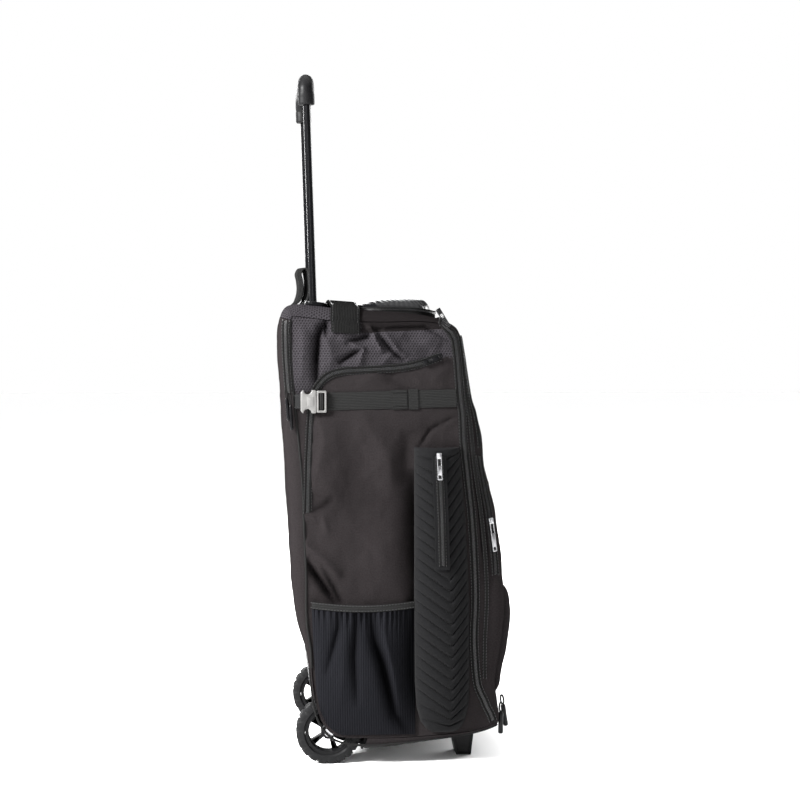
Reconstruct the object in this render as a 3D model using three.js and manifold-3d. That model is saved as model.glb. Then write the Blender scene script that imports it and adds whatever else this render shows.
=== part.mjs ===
// A wheeled catcher bag that stands on two wheels and two feet, with its telescoping handle pulled out.
// Sizes are in mm. X runs across the bag, -Y is the front, +Y the back with the wheels, and Z is up from the floor.
// Pieces that come in pairs are built on the left (-X) and mirrored.

import * as THREE from "three";
import { mergeVertices } from "three/addons/utils/BufferGeometryUtils.js";
import Module from "manifold-3d";

const wasm = await Module();
wasm.setup();

// Cloth and the gaps between pieces
const CLOTH = 2.5; // a padded panel of the body
const THIN_CLOTH = 1.5; // stretch cloth of the side pockets
const BASE_WALL = 3;
const LIFT = 0.6; // from a panel to a piece that lies on it
const SEAM = 0.4; // between two panels sewn edge to edge
const SIDE_INSET = 1; // of the side panels from the seams round them

// The body's outline from the side: up the back, over the top, down the front and along the base.
// rim is how far the panel turns in from the outline to its seam with the side panel.
const OUTLINE = {
  back: [
    { y: 139, z: 150, rim: 4 },
    { y: 143, z: 176, rim: 7 },
    { y: 153, z: 208, rim: 12 },
    { y: 159, z: 240, rim: 16 },
    { y: 163, z: 283, rim: 20 },
    { y: 167, z: 359, rim: 21 },
    { y: 171, z: 434, rim: 22 },
    { y: 176, z: 510, rim: 20 },
    { y: 180, z: 580, rim: 17 },
    { y: 184, z: 640, rim: 18 },
  ],
  top: [
    { y: 181, z: 680, rim: 16 },
    { y: 173, z: 695, rim: 17 },
    { y: 158, z: 700, rim: 19 },
    { y: 100, z: 695, rim: 20 },
    { y: 30, z: 690, rim: 17 },
    { y: -30, z: 685, rim: 11 },
  ],
  front: [
    { y: -58, z: 679, rim: 8 },
    { y: -72, z: 673.5, rim: 8 },
    { y: -85, z: 666, rim: 8 },
    { y: -92, z: 656, rim: 8 },
    { y: -98, z: 627, rim: 9 },
    { y: -104, z: 590, rim: 12 },
    { y: -111, z: 554, rim: 16 },
    { y: -119, z: 532, rim: 22 },
    { y: -126, z: 500, rim: 27 },
    { y: -128, z: 464, rim: 25 },
    { y: -136, z: 425, rim: 29 },
    { y: -145, z: 388, rim: 34 },
    { y: -157, z: 314, rim: 41 },
    { y: -160, z: 250, rim: 42 },
    { y: -155, z: 180, rim: 39 },
    { y: -147, z: 125, rim: 26 },
    { y: -149, z: 107, rim: 20 },
    { y: -151, z: 92, rim: 16 },
    { y: -154, z: 70, rim: 9 },
  ],
  base: [
    { y: -151, z: 57, rim: 7 },
    { y: -138, z: 51, rim: 6 },
    { y: -106, z: 43, rim: 6 },
    { y: -60, z: 36, rim: 9 },
    { y: 1, z: 27, rim: 15 },
    { y: 46, z: 23, rim: 19 },
    { y: 84, z: 28, rim: 15 },
    { y: 107, z: 40, rim: 9 },
    { y: 122, z: 59, rim: 6 },
    { y: 131, z: 83, rim: 5 },
    { y: 136, z: 117, rim: 4 },
  ],
};
const HALF_WIDTH = 184; // where the side panels stand out most
const MID_HEIGHT = 375;
const DRAWN_IN = 9; // how much less they stand out at the floor
const MID_DEPTH = 10;
const HALF_DEPTH = 150;
const BOWED_IN = 6; // how much less they stand out at the back seam
const CORNER = 20; // how far across the bag a panel's corner reaches

// How finely panels are cut into facets
const CORNER_STEPS = 3;
const FLAT_STEPS = 2;
const SIDE_COLUMNS = 8;
const ROW_TRIM = 0.012; // share of a row taken off each end of a panel to leave a seam

// Bat sleeve on each side, one row a section: its back and front edges and how far it stands out
const SLEEVE = [
  { z: 50, back: -48, front: -82, bulge: 6 },
  { z: 56, back: -39, front: -91, bulge: 12 },
  { z: 68, back: -30, front: -98, bulge: 18 },
  { z: 90, back: -24, front: -103, bulge: 22 },
  { z: 131, back: -21, front: -105, bulge: 25 },
  { z: 253, back: -20, front: -104, bulge: 26 },
  { z: 374, back: -20, front: -98, bulge: 25 },
  { z: 484, back: -20, front: -89, bulge: 23 },
];
const SLEEVE_WALL = 3;
const RIBS = 26;
const RIB_DEPTH = 1.4;
const RIB_SLOPE = 0.8; // the ribs are chevrons that point down
const RIB_COLUMNS = 6;
const SLEEVE_INNER_STRIDE = 4; // rows of ribs to each plain row inside

// Elastic pocket on each side, one row a height for its rounded back edge
const POCKET_BACK = [
  { z: 48, y: 88 },
  { z: 54, y: 102 },
  { z: 64, y: 112 },
  { z: 86, y: 122 },
  { z: 118, y: 128 },
  { z: 180, y: 132 },
  { z: 250, y: 135 },
];
const POCKET_FRONT = -16;
const POCKET_TOP = 239;
const POCKET_SAG = 8; // of its top edge in the middle
const POCKET_DEPTH = 15.5;
const POCKET_MOUTH = 0.7; // share of its depth left at the drawn-in top
const GATHERS = 7;
const GATHER_DEPTH = 1.8;
const BINDING_HEIGHT = 11;
const BINDING_THICKNESS = 3.6;

// Domed pieces: where they lie, half their width across the bag, and how far they stand out
const UPPER_POCKET = { half: 122, low: 268, high: 470, depth: 5, wall: 2, power: 5 };
const LOWER_POCKET = { half: 126, low: 100, high: 263, depth: 25.7, wall: 2.5, power: 3 };
const POD = { half: 104, back: 44, front: -53, top: 712, power: 5 };
const DOME_STEPS = 6;

// Zips lie on the panels as flat strips
const ZIP_HALF_WIDTH = 4;
const ZIP_THICKNESS = 1.6;
const ZIP_INSET = 4; // from a seam to the middle of the zip beside it
const ZIP_ON_FLAP = 0.5; // rows of the outline from the flap's top edge to the zip across it
const SIDE_ZIP = [
  { y: -59, z: 620 },
  { y: -29, z: 610 },
  { y: 1, z: 604 },
  { y: 47, z: 601 },
  { y: 84, z: 599 },
  { y: 107, z: 593 },
  { y: 122, z: 580 },
  { y: 131, z: 562 },
  { y: 136, z: 525 },
  { y: 139, z: 465 },
  { y: 139, z: 390 },
  { y: 138, z: 330 },
];
const BACK_ZIP_LOW = 576;
const SLEEVE_ZIP = { low: 308, high: 470 };
const UPPER_POCKET_ZIP = { low: 290, high: 470 };
const LID_ZIP = { clear: 1, width: 5, height: 4, bends: [-45, -30, 0, 30] }; // a ring round the pod

// Compression strap and its buckle on each side
const STRAP_Z = 553;
const STRAP_WIDTH = 27;
const STRAP_THICKNESS = 1.8;
const STRAP_FRONT = { y: -84, rise: 5 };
const BUCKLE = { back: 151, split: 127, front: 112, width: 35, thickness: 8, lift: 3 };
const BUCKLE_SCOOP = { half: 9, depth: 6 };
const LADDER_RAIL = 4;
const TAB = { back: 159, width: 22 };

// Webbing over the lid and the haul loop behind the handle
const GRAB = { y: 83, width: 44, thickness: 4, patch: 656, rise: 12 };
const HAUL_WIDTH = 30;
const HAUL_THICKNESS = 3;
const HAUL_LOOP = [
  { y: 173, z: 698.8 },
  { y: 162, z: 704 },
  { y: 153, z: 712 },
  { y: 149, z: 727 },
  { y: 150, z: 743 },
  { y: 152, z: 754 },
  { y: 147, z: 763 },
  { y: 139, z: 762 },
  { y: 135.5, z: 751 },
  { y: 134.5, z: 737 },
  { y: 135.5, z: 721 },
  { y: 140, z: 709 },
  { y: 147, z: 702 },
];

// Telescoping handle: its tubes lean back as they rise
const HANDLE = { y: 129, z: 704, lean: 0.033, half: 97, rise: 306 };
const TUBE_RADIUS = 5;
const TUBE_BELOW = 70; // left in the guides when pulled right out
const TUBE_IN_GRIP = 18;
const GUIDE = { bore: 5.7, radius: 8, bottom: 58 };
const GRIP = { height: 51, bend: 24, legHalf: 8.2, barHalf: 10, deepHalf: 9 };
const BEZEL = { half: 118, back: 142, front: 108, top: 704, bevel: 4 };
const ROUND_SIDES = 16;

// Wheels, axles and feet
const AXLE = { y: 108, z: 49.8, radius: 4, inner: 128.2, outer: 164, head: 7, headWidth: 2 };
const WHEEL = { x: 147, radius: 50, width: 28, lugs: 20, lugDepth: 3, rim: 36, bore: 4.6 };
const SPOKES = { count: 5, inner: 12, outer: 31, share: 0.7 };
const HOUSING = { bore: 55, wall: 2.5, inner: 128, outer: 166 };
const FOOT = { x: 98, half: 20, back: -84, front: -120, soleBack: -92, soleFront: -115, top: 40.5 };

// Zip pulls
const PULL_THICKNESS = 3;
const PULL_WIDTH = 7;
const SIDE_PULL = { y: -62, high: 622, low: 596 };
const LID_PULL = { y: -71, high: 676, low: 654 };
const SLEEVE_PULL = { high: 472, low: 436 };
const UPPER_POCKET_PULL = { high: 373, low: 326 };
const BACK_PULL = { high: 572, low: 524 };
const MAIN_PULL = { x: 146, y: -158.8, high: 98, low: 40, radius: 4 };

const COLOURS = {
  cloth: { color: 0x35302f, roughness: 0.9, metalness: 0 },
  mesh: { color: 0x3f3a3d, roughness: 0.95, metalness: 0 },
  stretch: { color: 0x23252a, roughness: 0.9, metalness: 0 },
  neoprene: { color: 0x1d1b1c, roughness: 0.7, metalness: 0 },
  webbing: { color: 0x2c2f2c, roughness: 0.85, metalness: 0 },
  zip: { color: 0x141414, roughness: 0.6, metalness: 0 },
  gloss: { color: 0x0c0c0d, roughness: 0.2, metalness: 0 },
  plastic: { color: 0x18181a, roughness: 0.5, metalness: 0 },
  rubber: { color: 0x111112, roughness: 0.85, metalness: 0 },
  buckle: { color: 0xc9c7c2, roughness: 0.4, metalness: 0 },
  steel: { color: 0x9a9a9c, roughness: 0.35, metalness: 1 },
};

// Closed solids

function volumeOf(positions, index) {
  const [a, b, c] = [new THREE.Vector3(), new THREE.Vector3(), new THREE.Vector3()];
  let sum = 0;
  for (let i = 0; i < index.length; i += 3) {
    a.fromArray(positions, 3 * index[i]);
    b.fromArray(positions, 3 * index[i + 1]);
    c.fromArray(positions, 3 * index[i + 2]);
    sum += a.dot(b.cross(c));
  }
  return sum / 6;
}

function geometryFrom(positions, index) {
  const facesOut = volumeOf(positions, index) > 0;
  const geometry = new THREE.BufferGeometry();
  geometry.setAttribute("position", new THREE.Float32BufferAttribute(positions, 3));
  geometry.setIndex(facesOut ? index : [...index].reverse());
  return geometry;
}

// A solid between two surfaces on a grid of columns and rows; the inner one may skip rows by a stride
function between(columns, rows, outer, inner, stride = 1) {
  const positions = [];
  const addLayer = (surface, step) => {
    for (let j = 0; j <= rows; j += step) {
      for (let i = 0; i <= columns; i += 1) {
        positions.push(...surface(i, j).toArray());
      }
    }
  };
  addLayer(outer, 1);
  addLayer(inner, stride);
  const outside = (i, j) => i + j * (columns + 1);
  const inside = (i, j) => outside(columns, rows) + 1 + i + (j / stride) * (columns + 1);
  const index = [];
  const quad = (a, b, c, d) => index.push(a, b, c, a, c, d);
  for (let i = 0; i < columns; i += 1) {
    for (let j = 0; j < rows; j += 1) {
      quad(outside(i, j), outside(i + 1, j), outside(i + 1, j + 1), outside(i, j + 1));
    }
    for (let j = 0; j < rows; j += stride) {
      quad(inside(i, j + stride), inside(i + 1, j + stride), inside(i + 1, j), inside(i, j));
    }
    quad(outside(i + 1, 0), outside(i, 0), inside(i, 0), inside(i + 1, 0));
    quad(outside(i, rows), outside(i + 1, rows), inside(i + 1, rows), inside(i, rows));
  }
  for (let j = 0; j < rows; j += stride) {
    for (let k = j; k < j + stride; k += 1) {
      index.push(outside(0, k), outside(0, k + 1), inside(0, j));
      index.push(outside(columns, k + 1), outside(columns, k), inside(columns, j));
    }
    index.push(outside(0, j + stride), inside(0, j + stride), inside(0, j));
    index.push(inside(columns, j + stride), outside(columns, j + stride), inside(columns, j));
  }
  return geometryFrom(positions, index);
}

// A flat strip: each station has the middle of its underside, the way up from the cloth and the way across
function strip(stations, halfWidth, thickness) {
  const point = (i, j, height) => {
    const { middle, up, across } = stations[j];
    return middle.clone().addScaledVector(across, (2 * i - 1) * halfWidth).addScaledVector(up, height);
  };
  const outer = (i, j) => point(i, j, thickness);
  const inner = (i, j) => point(i, j, 0);
  return between(1, stations.length - 1, outer, inner);
}

function solid(geometry) {
  const bare = geometry.clone();
  bare.deleteAttribute("normal");
  bare.deleteAttribute("uv");
  const merged = mergeVertices(bare, 1e-4);
  const mesh = new wasm.Mesh({
    numProp: 3,
    vertProperties: new Float32Array(merged.attributes.position.array),
    triVerts: new Uint32Array(merged.index.array),
  });
  return new wasm.Manifold(mesh);
}

function geometryOf(manifold) {
  const mesh = manifold.getMesh();
  return geometryFrom(Array.from(mesh.vertProperties), Array.from(mesh.triVerts));
}

function cut(geometry, ...tools) {
  return geometryOf(tools.reduce((whole, tool) => whole.subtract(solid(tool)), solid(geometry)));
}

function join(geometry, ...others) {
  return geometryOf(others.reduce((whole, other) => whole.add(solid(other)), solid(geometry)));
}

// A round bar across the bag, from one x to another
function crossBar(radius, from, to, sides, y = AXLE.y, z = AXLE.z) {
  const bar = new THREE.CylinderGeometry(radius, radius, Math.abs(to - from), sides);
  bar.rotateZ(Math.PI / 2);
  return bar.translate((from + to) / 2, y, z);
}

// A shape drawn in y and z, drawn out across the bag between two values of x
function acrossBag(shape, from, to) {
  const geometry = new THREE.ExtrudeGeometry(shape, { depth: to - from, bevelEnabled: false, curveSegments: 8 });
  const turn = new THREE.Matrix4().makeBasis(
    new THREE.Vector3(0, 1, 0),
    new THREE.Vector3(0, 0, 1),
    new THREE.Vector3(1, 0, 0),
  );
  return geometry.applyMatrix4(turn).translate(from, 0, 0);
}

function polygon(corners) {
  return new THREE.Shape(corners.map(([y, z]) => new THREE.Vector2(y, z)));
}

// The body's surfaces

const outlineRows = Object.values(OUTLINE).flat();
const outlineLoop = new THREE.CatmullRomCurve3(
  outlineRows.map(({ y, z, rim }) => new THREE.Vector3(y, z, rim)),
  true,
  "centripetal",
);

// The rows of the outline that a panel runs over
function span(panel) {
  const names = Object.keys(OUTLINE);
  const before = names.slice(0, names.indexOf(panel)).flatMap((name) => OUTLINE[name]).length;
  return { start: before, end: before + OUTLINE[panel].length };
}

// The outline at a row, or at a share of the way to the next one, with the way into the bag
function outlineAt(row) {
  const share = (row / outlineRows.length + 1) % 1;
  const { x: y, y: z, z: rim } = outlineLoop.getPoint(share);
  const tangent = outlineLoop.getTangent(share);
  const inward = new THREE.Vector2(-tangent.y, tangent.x).normalize();
  return { y, z, rim, inward };
}

// Half the bag's width at a place seen from the side
function halfWidth(y, z) {
  const [deep, high] = [(y - MID_DEPTH) / HALF_DEPTH, (z - MID_HEIGHT) / MID_HEIGHT];
  return HALF_WIDTH - BOWED_IN * deep ** 2 - DRAWN_IN * high ** 2;
}

// Columns of a panel from rim to rim: round one corner, over the flat and round the other corner
const ACROSS = [];
for (let i = 0; i < CORNER_STEPS; i += 1) {
  ACROSS.push({ flat: -1, turn: (1 - i / CORNER_STEPS) * (Math.PI / 2) });
}
for (let i = 0; i <= FLAT_STEPS; i += 1) {
  ACROSS.push({ flat: -1 + (2 * i) / FLAT_STEPS, turn: 0 });
}
for (let i = 1; i <= CORNER_STEPS; i += 1) {
  ACROSS.push({ flat: 1, turn: (i / CORNER_STEPS) * (Math.PI / 2) });
}

// A point of a panel, or of its inside when it is set in by the panel's thickness
function panelPoint(row, { flat, turn }, inset = 0) {
  const { y, z, rim, inward } = outlineAt(row);
  const reach = Math.sign(flat) * CORNER * Math.sin(turn);
  const half = halfWidth(y + inward.x * rim, z + inward.y * rim);
  const x = flat * (half - CORNER - inset) + reach;
  const depth = inset + (rim - inset) * (1 - Math.cos(turn));
  return new THREE.Vector3(x, y + inward.x * depth, z + inward.y * depth);
}

// The way out of a panel at a point
function panelUp(row, { flat, turn }) {
  const { rim, inward } = outlineAt(row);
  const out = CORNER * Math.cos(turn);
  return new THREE.Vector3(Math.sign(flat) * rim * Math.sin(turn), -inward.x * out, -inward.y * out).normalize();
}

function panel(name, thickness) {
  const { start, end } = span(name);
  const rows = end - start;
  const rowAt = (j) => THREE.MathUtils.clamp(start + j, start + ROW_TRIM, end - ROW_TRIM);
  const surface = (inset) => (i, j) => panelPoint(rowAt(j), ACROSS[i], inset);
  return between(ACROSS.length - 1, rows, surface(0), surface(thickness));
}

// The seam of the side panel at a row of the outline, moved further in by an inset
function seamAt(row, inset = 0) {
  const { y, z, rim, inward } = outlineAt(row);
  return new THREE.Vector2(y, z).addScaledVector(inward, rim + inset);
}

// A value read from rows that go up, at a height between two of them
function lookUp(rows, height, value) {
  const above = rows.findIndex((row) => row.z >= height);
  if (above <= 0) {
    return value(above === 0 ? rows[0] : rows.at(-1));
  }
  const [low, high] = [rows[above - 1], rows[above]];
  const share = (height - low.z) / (high.z - low.z);
  return THREE.MathUtils.lerp(value(low), value(high), share);
}

// The outside of the left side panel, or of what lies on it, at a place seen from the side
function sidePoint(y, z, lift = 0) {
  return new THREE.Vector3(-halfWidth(y, z) - lift, y, z);
}

// The side panel fills the ring of seams: its grid is blended from the four of them
function sidePanel() {
  const columns = SIDE_COLUMNS;
  const rows = OUTLINE.front.length;
  const along = (name, share, backwards = false) => {
    const { start, end } = span(name);
    return seamAt(start + (end - start) * (backwards ? 1 - share : share), SIDE_INSET);
  };
  const blended = (s, t) => {
    const bottom = (share) => along("base", share, true);
    const top = (share) => along("top", share);
    const back = (share) => along("back", share);
    const front = (share) => along("front", share, true);
    const place = new THREE.Vector2()
      .addScaledVector(bottom(s), 1 - t)
      .addScaledVector(top(s), t)
      .addScaledVector(back(t), 1 - s)
      .addScaledVector(front(t), s);
    place.addScaledVector(bottom(0), -(1 - s) * (1 - t)).addScaledVector(bottom(1), -s * (1 - t));
    return place.addScaledVector(top(0), -(1 - s) * t).addScaledVector(top(1), -s * t);
  };
  const surface = (lift) => (i, j) => {
    const { x: y, y: z } = blended(i / columns, j / rows);
    return sidePoint(y, z, lift);
  };
  return between(columns, rows, surface(0), surface(-CLOTH));
}

// The lid's height at a depth, and the front flap's depth at a height, found along the outline
function outlineWhere(name, measure, wanted) {
  let { start: low, end: high } = span(name);
  const rising = measure(outlineAt(high)) > measure(outlineAt(low));
  for (let i = 0; i < 40; i += 1) {
    const middle = (low + high) / 2;
    if (measure(outlineAt(middle)) < wanted === rising) {
      low = middle;
    } else {
      high = middle;
    }
  }
  return (low + high) / 2;
}

const lidRow = (y) => outlineWhere("top", (place) => place.y, y);
const lidHeight = (y) => outlineAt(lidRow(y)).z;
const flapRow = (z) => outlineWhere("front", (place) => place.z, z);
const flapFace = (z) => outlineAt(flapRow(z)).y;

// Strips on the side panel

function sideStations(places, lift, steps) {
  const curve = new THREE.SplineCurve(places.map(({ y, z }) => new THREE.Vector2(y, z)));
  return Array.from({ length: steps + 1 }, (_, k) => {
    const { x: y, y: z } = curve.getPoint(k / steps);
    const way = curve.getTangent(k / steps);
    return {
      middle: sidePoint(y, z, lift),
      up: new THREE.Vector3(-1, 0, 0),
      across: new THREE.Vector3(0, -way.y, way.x),
    };
  });
}

function seamStations(from, to, steps, inset) {
  const places = Array.from({ length: steps + 1 }, (_, k) => {
    const { x: y, y: z } = seamAt(from + ((to - from) * k) / steps, inset);
    return { y, z };
  });
  return sideStations(places, LIFT, steps);
}

// A strip up a panel, along one of its columns between two heights
function panelStations(name, { low, high }, column, lift, steps) {
  return Array.from({ length: steps + 1 }, (_, k) => {
    const row = outlineWhere(name, (place) => place.z, THREE.MathUtils.lerp(low, high, k / steps));
    const up = panelUp(row, column);
    const { inward } = outlineAt(row);
    const along = new THREE.Vector3(0, inward.y, -inward.x);
    const across = new THREE.Vector3().crossVectors(up, along);
    return { middle: panelPoint(row, column).addScaledVector(up, lift), up, across };
  });
}

const mirrored = ({ middle, up, across }) => {
  const flip = new THREE.Vector3(-1, 1, 1);
  return { middle: middle.clone().multiply(flip), up: up.clone().multiply(flip), across: across.clone().multiply(flip) };
};

// The main zip climbs the left seam of the front flap, crosses the lid and goes down the right seam
function mainZip() {
  const { start, end } = span("front");
  const overLid = start + ZIP_ON_FLAP;
  const left = seamStations(end - 0.6, start + 2, OUTLINE.front.length, ZIP_INSET);
  const right = left.map(mirrored).reverse();
  const { inward } = outlineAt(overLid);
  const lid = ACROSS.map((column) => {
    const up = panelUp(overLid, column);
    const middle = panelPoint(overLid, column).addScaledVector(up, 2 * LIFT);
    return { middle, up, across: new THREE.Vector3(0, inward.y, -inward.x) };
  });
  const faceSameWay = (stations) => {
    for (let k = 1; k < stations.length; k += 1) {
      if (stations[k].across.dot(stations[k - 1].across) < 0) {
        stations[k].across.negate();
      }
    }
    return stations;
  };
  return strip(faceSameWay([...left, ...lid, ...right]), ZIP_HALF_WIDTH, ZIP_THICKNESS);
}

function backZip() {
  const { end } = span("back");
  const low = outlineWhere("back", (place) => place.z, BACK_ZIP_LOW);
  return strip(seamStations(low, end - 0.3, 6, ZIP_INSET), ZIP_HALF_WIDTH, ZIP_THICKNESS);
}

function sideZip() {
  return strip(sideStations(SIDE_ZIP, LIFT, 2 * SIDE_ZIP.length), ZIP_HALF_WIDTH, ZIP_THICKNESS);
}

// Bat sleeve and its zip

function sleeveSection(z) {
  const back = lookUp(SLEEVE, z, (row) => row.back);
  const front = lookUp(SLEEVE, z, (row) => row.front);
  const bulge = lookUp(SLEEVE, z, (row) => row.bulge);
  return { middle: (back + front) / 2, half: (back - front) / 2, bulge };
}

function sleevePoint(share, turn, wall, extra) {
  const [low, high] = [SLEEVE[0].z, SLEEVE.at(-1).z];
  const level = THREE.MathUtils.lerp(low, high, share);
  const fade = Math.min(1, 8 * share, 8 * (1 - share));
  const offset = sleeveSection(level).half * Math.cos(turn);
  const z = level + RIB_SLOPE * fade * (Math.abs(offset) - sleeveSection(level).half / 2);
  const { middle, half, bulge } = sleeveSection(z);
  const y = middle + (half - wall) * Math.cos(turn);
  return sidePoint(y, z, LIFT + (bulge - wall + extra) * Math.sin(turn));
}

function batSleeve() {
  const rows = 2 * RIBS;
  const turnAt = (i) => (Math.PI * i) / RIB_COLUMNS;
  const outer = (i, j) => sleevePoint(j / rows, turnAt(i), 0, j % 2 === 1 ? RIB_DEPTH : 0);
  const inner = (i, j) => sleevePoint(j / rows, turnAt(i), SLEEVE_WALL, 0);
  return between(RIB_COLUMNS, rows, outer, inner, SLEEVE_INNER_STRIDE);
}

// A strip up the middle of the sleeve
function sleeveStations({ low, high }, lift, steps) {
  return Array.from({ length: steps + 1 }, (_, k) => {
    const z = THREE.MathUtils.lerp(low, high, k / steps);
    const { middle, bulge } = sleeveSection(z);
    return {
      middle: sidePoint(middle, z, LIFT + bulge + RIB_DEPTH + lift),
      up: new THREE.Vector3(-1, 0, 0),
      across: new THREE.Vector3(0, 1, 0),
    };
  });
}

// Elastic pocket and the binding along its mouth

const POCKET_COLUMNS = 2 * GATHERS;
const POCKET_ROWS = 5;

function pocketPoint(s, t, lift) {
  const top = POCKET_TOP - POCKET_SAG * Math.sin(Math.PI * s);
  const z = THREE.MathUtils.lerp(POCKET_BACK[0].z, top, t);
  const back = lookUp(POCKET_BACK, z, (row) => row.y);
  const y = THREE.MathUtils.lerp(back, POCKET_FRONT, s);
  const rise = t < 0.5 ? Math.sin(Math.PI * t) : 1 - (1 - POCKET_MOUTH) * (2 * t - 1) ** 2;
  const bow = Math.sqrt(Math.sin(Math.PI * Math.min(1, Math.max(0, s))));
  const gather = GATHER_DEPTH * t * t * Math.sin(2 * Math.PI * GATHERS * s + Math.PI / 4);
  return sidePoint(y, z, lift + bow * (POCKET_DEPTH * rise + gather));
}

function elasticPocket() {
  const surface = (lift) => (i, j) => pocketPoint(i / POCKET_COLUMNS, j / POCKET_ROWS, lift);
  return between(POCKET_COLUMNS, POCKET_ROWS, surface(LIFT + THIN_CLOTH), surface(LIFT));
}

function pocketBinding() {
  const point = (i, j, lift) => {
    const mouth = pocketPoint(j / POCKET_COLUMNS, 1, lift);
    return mouth.setZ(mouth.z + SEAM + i * BINDING_HEIGHT);
  };
  const middle = LIFT + THIN_CLOTH / 2;
  const outer = (i, j) => point(i, j, middle + BINDING_THICKNESS / 2);
  const inner = (i, j) => {
    const place = point(i, j, middle - BINDING_THICKNESS / 2);
    return place.setX(Math.min(place.x, sidePoint(place.y, place.z, LIFT).x));
  };
  return between(1, POCKET_COLUMNS, outer, inner);
}

// Domed pieces: pockets on the front flap and the pod on the lid

// Height of a dome as a share of its full height; a higher power is boxier
function domeHeight(u, v, power) {
  const edge = (share) => (1 - Math.abs(share) ** power) ** (1 / power);
  return edge(u) * edge(v);
}

// Grid shares that crowd towards the edges, where a dome turns over
const domeShare = (k) => Math.sin((Math.PI / 2) * ((2 * k) / DOME_STEPS - 1));

function frontPocket({ half, low, high, depth, wall, power }) {
  const surface = (inset) => (i, j) => {
    const [u, v] = [domeShare(i), domeShare(j)];
    const z = (low + high) / 2 + v * ((high - low) / 2 - inset);
    const out = LIFT + (depth - inset) * domeHeight(u, v, power);
    return new THREE.Vector3(u * (half - inset), flapFace(z) - out, z);
  };
  return between(DOME_STEPS, DOME_STEPS, surface(0), surface(wall));
}

function lidPod() {
  const { half, back, front, top, power } = POD;
  const surface = (foot, share) => (i, j) => {
    const [u, v] = [domeShare(i), domeShare(j)];
    const y = (back + front) / 2 + (v * (back - front)) / 2;
    const low = lidHeight(y) + foot;
    return new THREE.Vector3(u * half, y, low + share * (top - low) * domeHeight(u, v, power));
  };
  return between(DOME_STEPS, DOME_STEPS, surface(2 * LIFT, 1), surface(LIFT, 0));
}

// Straps, tabs and buckles

function strapHeight(y) {
  const share = (BUCKLE.front - y) / (BUCKLE.front - STRAP_FRONT.y);
  return STRAP_Z + STRAP_FRONT.rise * share;
}

function strap() {
  const from = BUCKLE.front - SEAM;
  const places = [from, 60, 0, STRAP_FRONT.y].map((y) => ({ y, z: strapHeight(y) }));
  return strip(sideStations(places, LIFT, 9), STRAP_WIDTH / 2, STRAP_THICKNESS);
}

function strapTab() {
  const places = [TAB.back, BUCKLE.back + SEAM].map((y) => ({ y, z: STRAP_Z }));
  return strip(sideStations(places, LIFT, 1), TAB.width / 2, BUCKLE.lift + STRAP_THICKNESS);
}

// A flat piece of the buckle drawn in y and z, standing off the side panel
function bucklePlate(shape) {
  const under = -Math.max(...[BUCKLE.back, BUCKLE.front].map((y) => -sidePoint(y, STRAP_Z).x)) - BUCKLE.lift;
  return acrossBag(shape, under - BUCKLE.thickness, under);
}

function buckleSocket() {
  const { back, split, width } = BUCKLE;
  const [low, high] = [STRAP_Z - width / 2, STRAP_Z + width / 2];
  const shape = polygon([
    [split + SEAM, low],
    [back, low],
    [back, high],
    [split + SEAM, high],
  ]);
  const middle = (back + split) / 2;
  const scoops = [low, high].map((z) => {
    const bowl = new THREE.Shape();
    bowl.absellipse(middle, z, BUCKLE_SCOOP.half, BUCKLE_SCOOP.depth, 0, 2 * Math.PI);
    return bucklePlate(bowl);
  });
  return cut(bucklePlate(shape), ...scoops);
}

function bucklePlug() {
  const { front, split, width } = BUCKLE;
  const half = width / 2 - 1;
  const ring = (inset) => [
    [front + inset, STRAP_Z - half + inset],
    [split - inset, STRAP_Z - half + inset],
    [split - inset, STRAP_Z + half - inset],
    [front + inset, STRAP_Z + half - inset],
  ];
  const frame = polygon(ring(0));
  frame.holes.push(new THREE.Path(ring(LADDER_RAIL).map(([y, z]) => new THREE.Vector2(y, z))));
  return bucklePlate(frame);
}

// Webbing over the lid

function grabHandle() {
  const row = lidRow(GRAB.y);
  const { inward } = outlineAt(row);
  const across = new THREE.Vector3(0, -inward.y, inward.x);
  const corner = ACROSS.slice(0, CORNER_STEPS + 1).map((column) => {
    const up = panelUp(row, column);
    return { middle: panelPoint(row, column).addScaledVector(up, 1.5 * LIFT), up, across };
  });
  const patch = { middle: sidePoint(GRAB.y, GRAB.patch, LIFT), up: new THREE.Vector3(-1, 0, 0), across };
  const shoulder = corner.at(-1).middle;
  const arch = [0.22, 0.5, 0.8, 1].map((share) => {
    const lift = GRAB.rise * Math.sin((Math.PI / 2) * share) ** 1.5;
    const middle = new THREE.Vector3(shoulder.x * (1 - share), shoulder.y, shoulder.z + lift);
    return { middle, up: new THREE.Vector3(-0.12 * Math.cos((Math.PI / 2) * share), 0, 1).normalize(), across };
  });
  const left = [patch, ...corner, ...arch];
  const right = left.slice(0, -1).map(mirrored).reverse();
  return strip([...left, ...right], GRAB.width / 2, GRAB.thickness);
}

function haulLoop() {
  const curve = new THREE.CatmullRomCurve3(
    HAUL_LOOP.map(({ y, z }) => new THREE.Vector3(0, y, z)),
    false,
    "centripetal",
  );
  const steps = HAUL_LOOP.length + 6;
  const across = new THREE.Vector3(1, 0, 0);
  const stations = Array.from({ length: steps + 1 }, (_, k) => {
    const up = new THREE.Vector3().crossVectors(across, curve.getTangent(k / steps));
    return { middle: curve.getPoint(k / steps), up, across };
  });
  return strip(stations, HAUL_WIDTH / 2, HAUL_THICKNESS);
}

// Telescoping handle, built upright about the left tube's place on the lid and then leaned back

function leaned(geometry) {
  return geometry.rotateX(-HANDLE.lean).translate(0, HANDLE.y, HANDLE.z);
}

function upright(radius, low, high, x = -HANDLE.half) {
  const bar = new THREE.CylinderGeometry(radius, radius, high - low, ROUND_SIDES);
  bar.rotateX(Math.PI / 2);
  return bar.translate(x, 0, (low + high) / 2);
}

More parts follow.
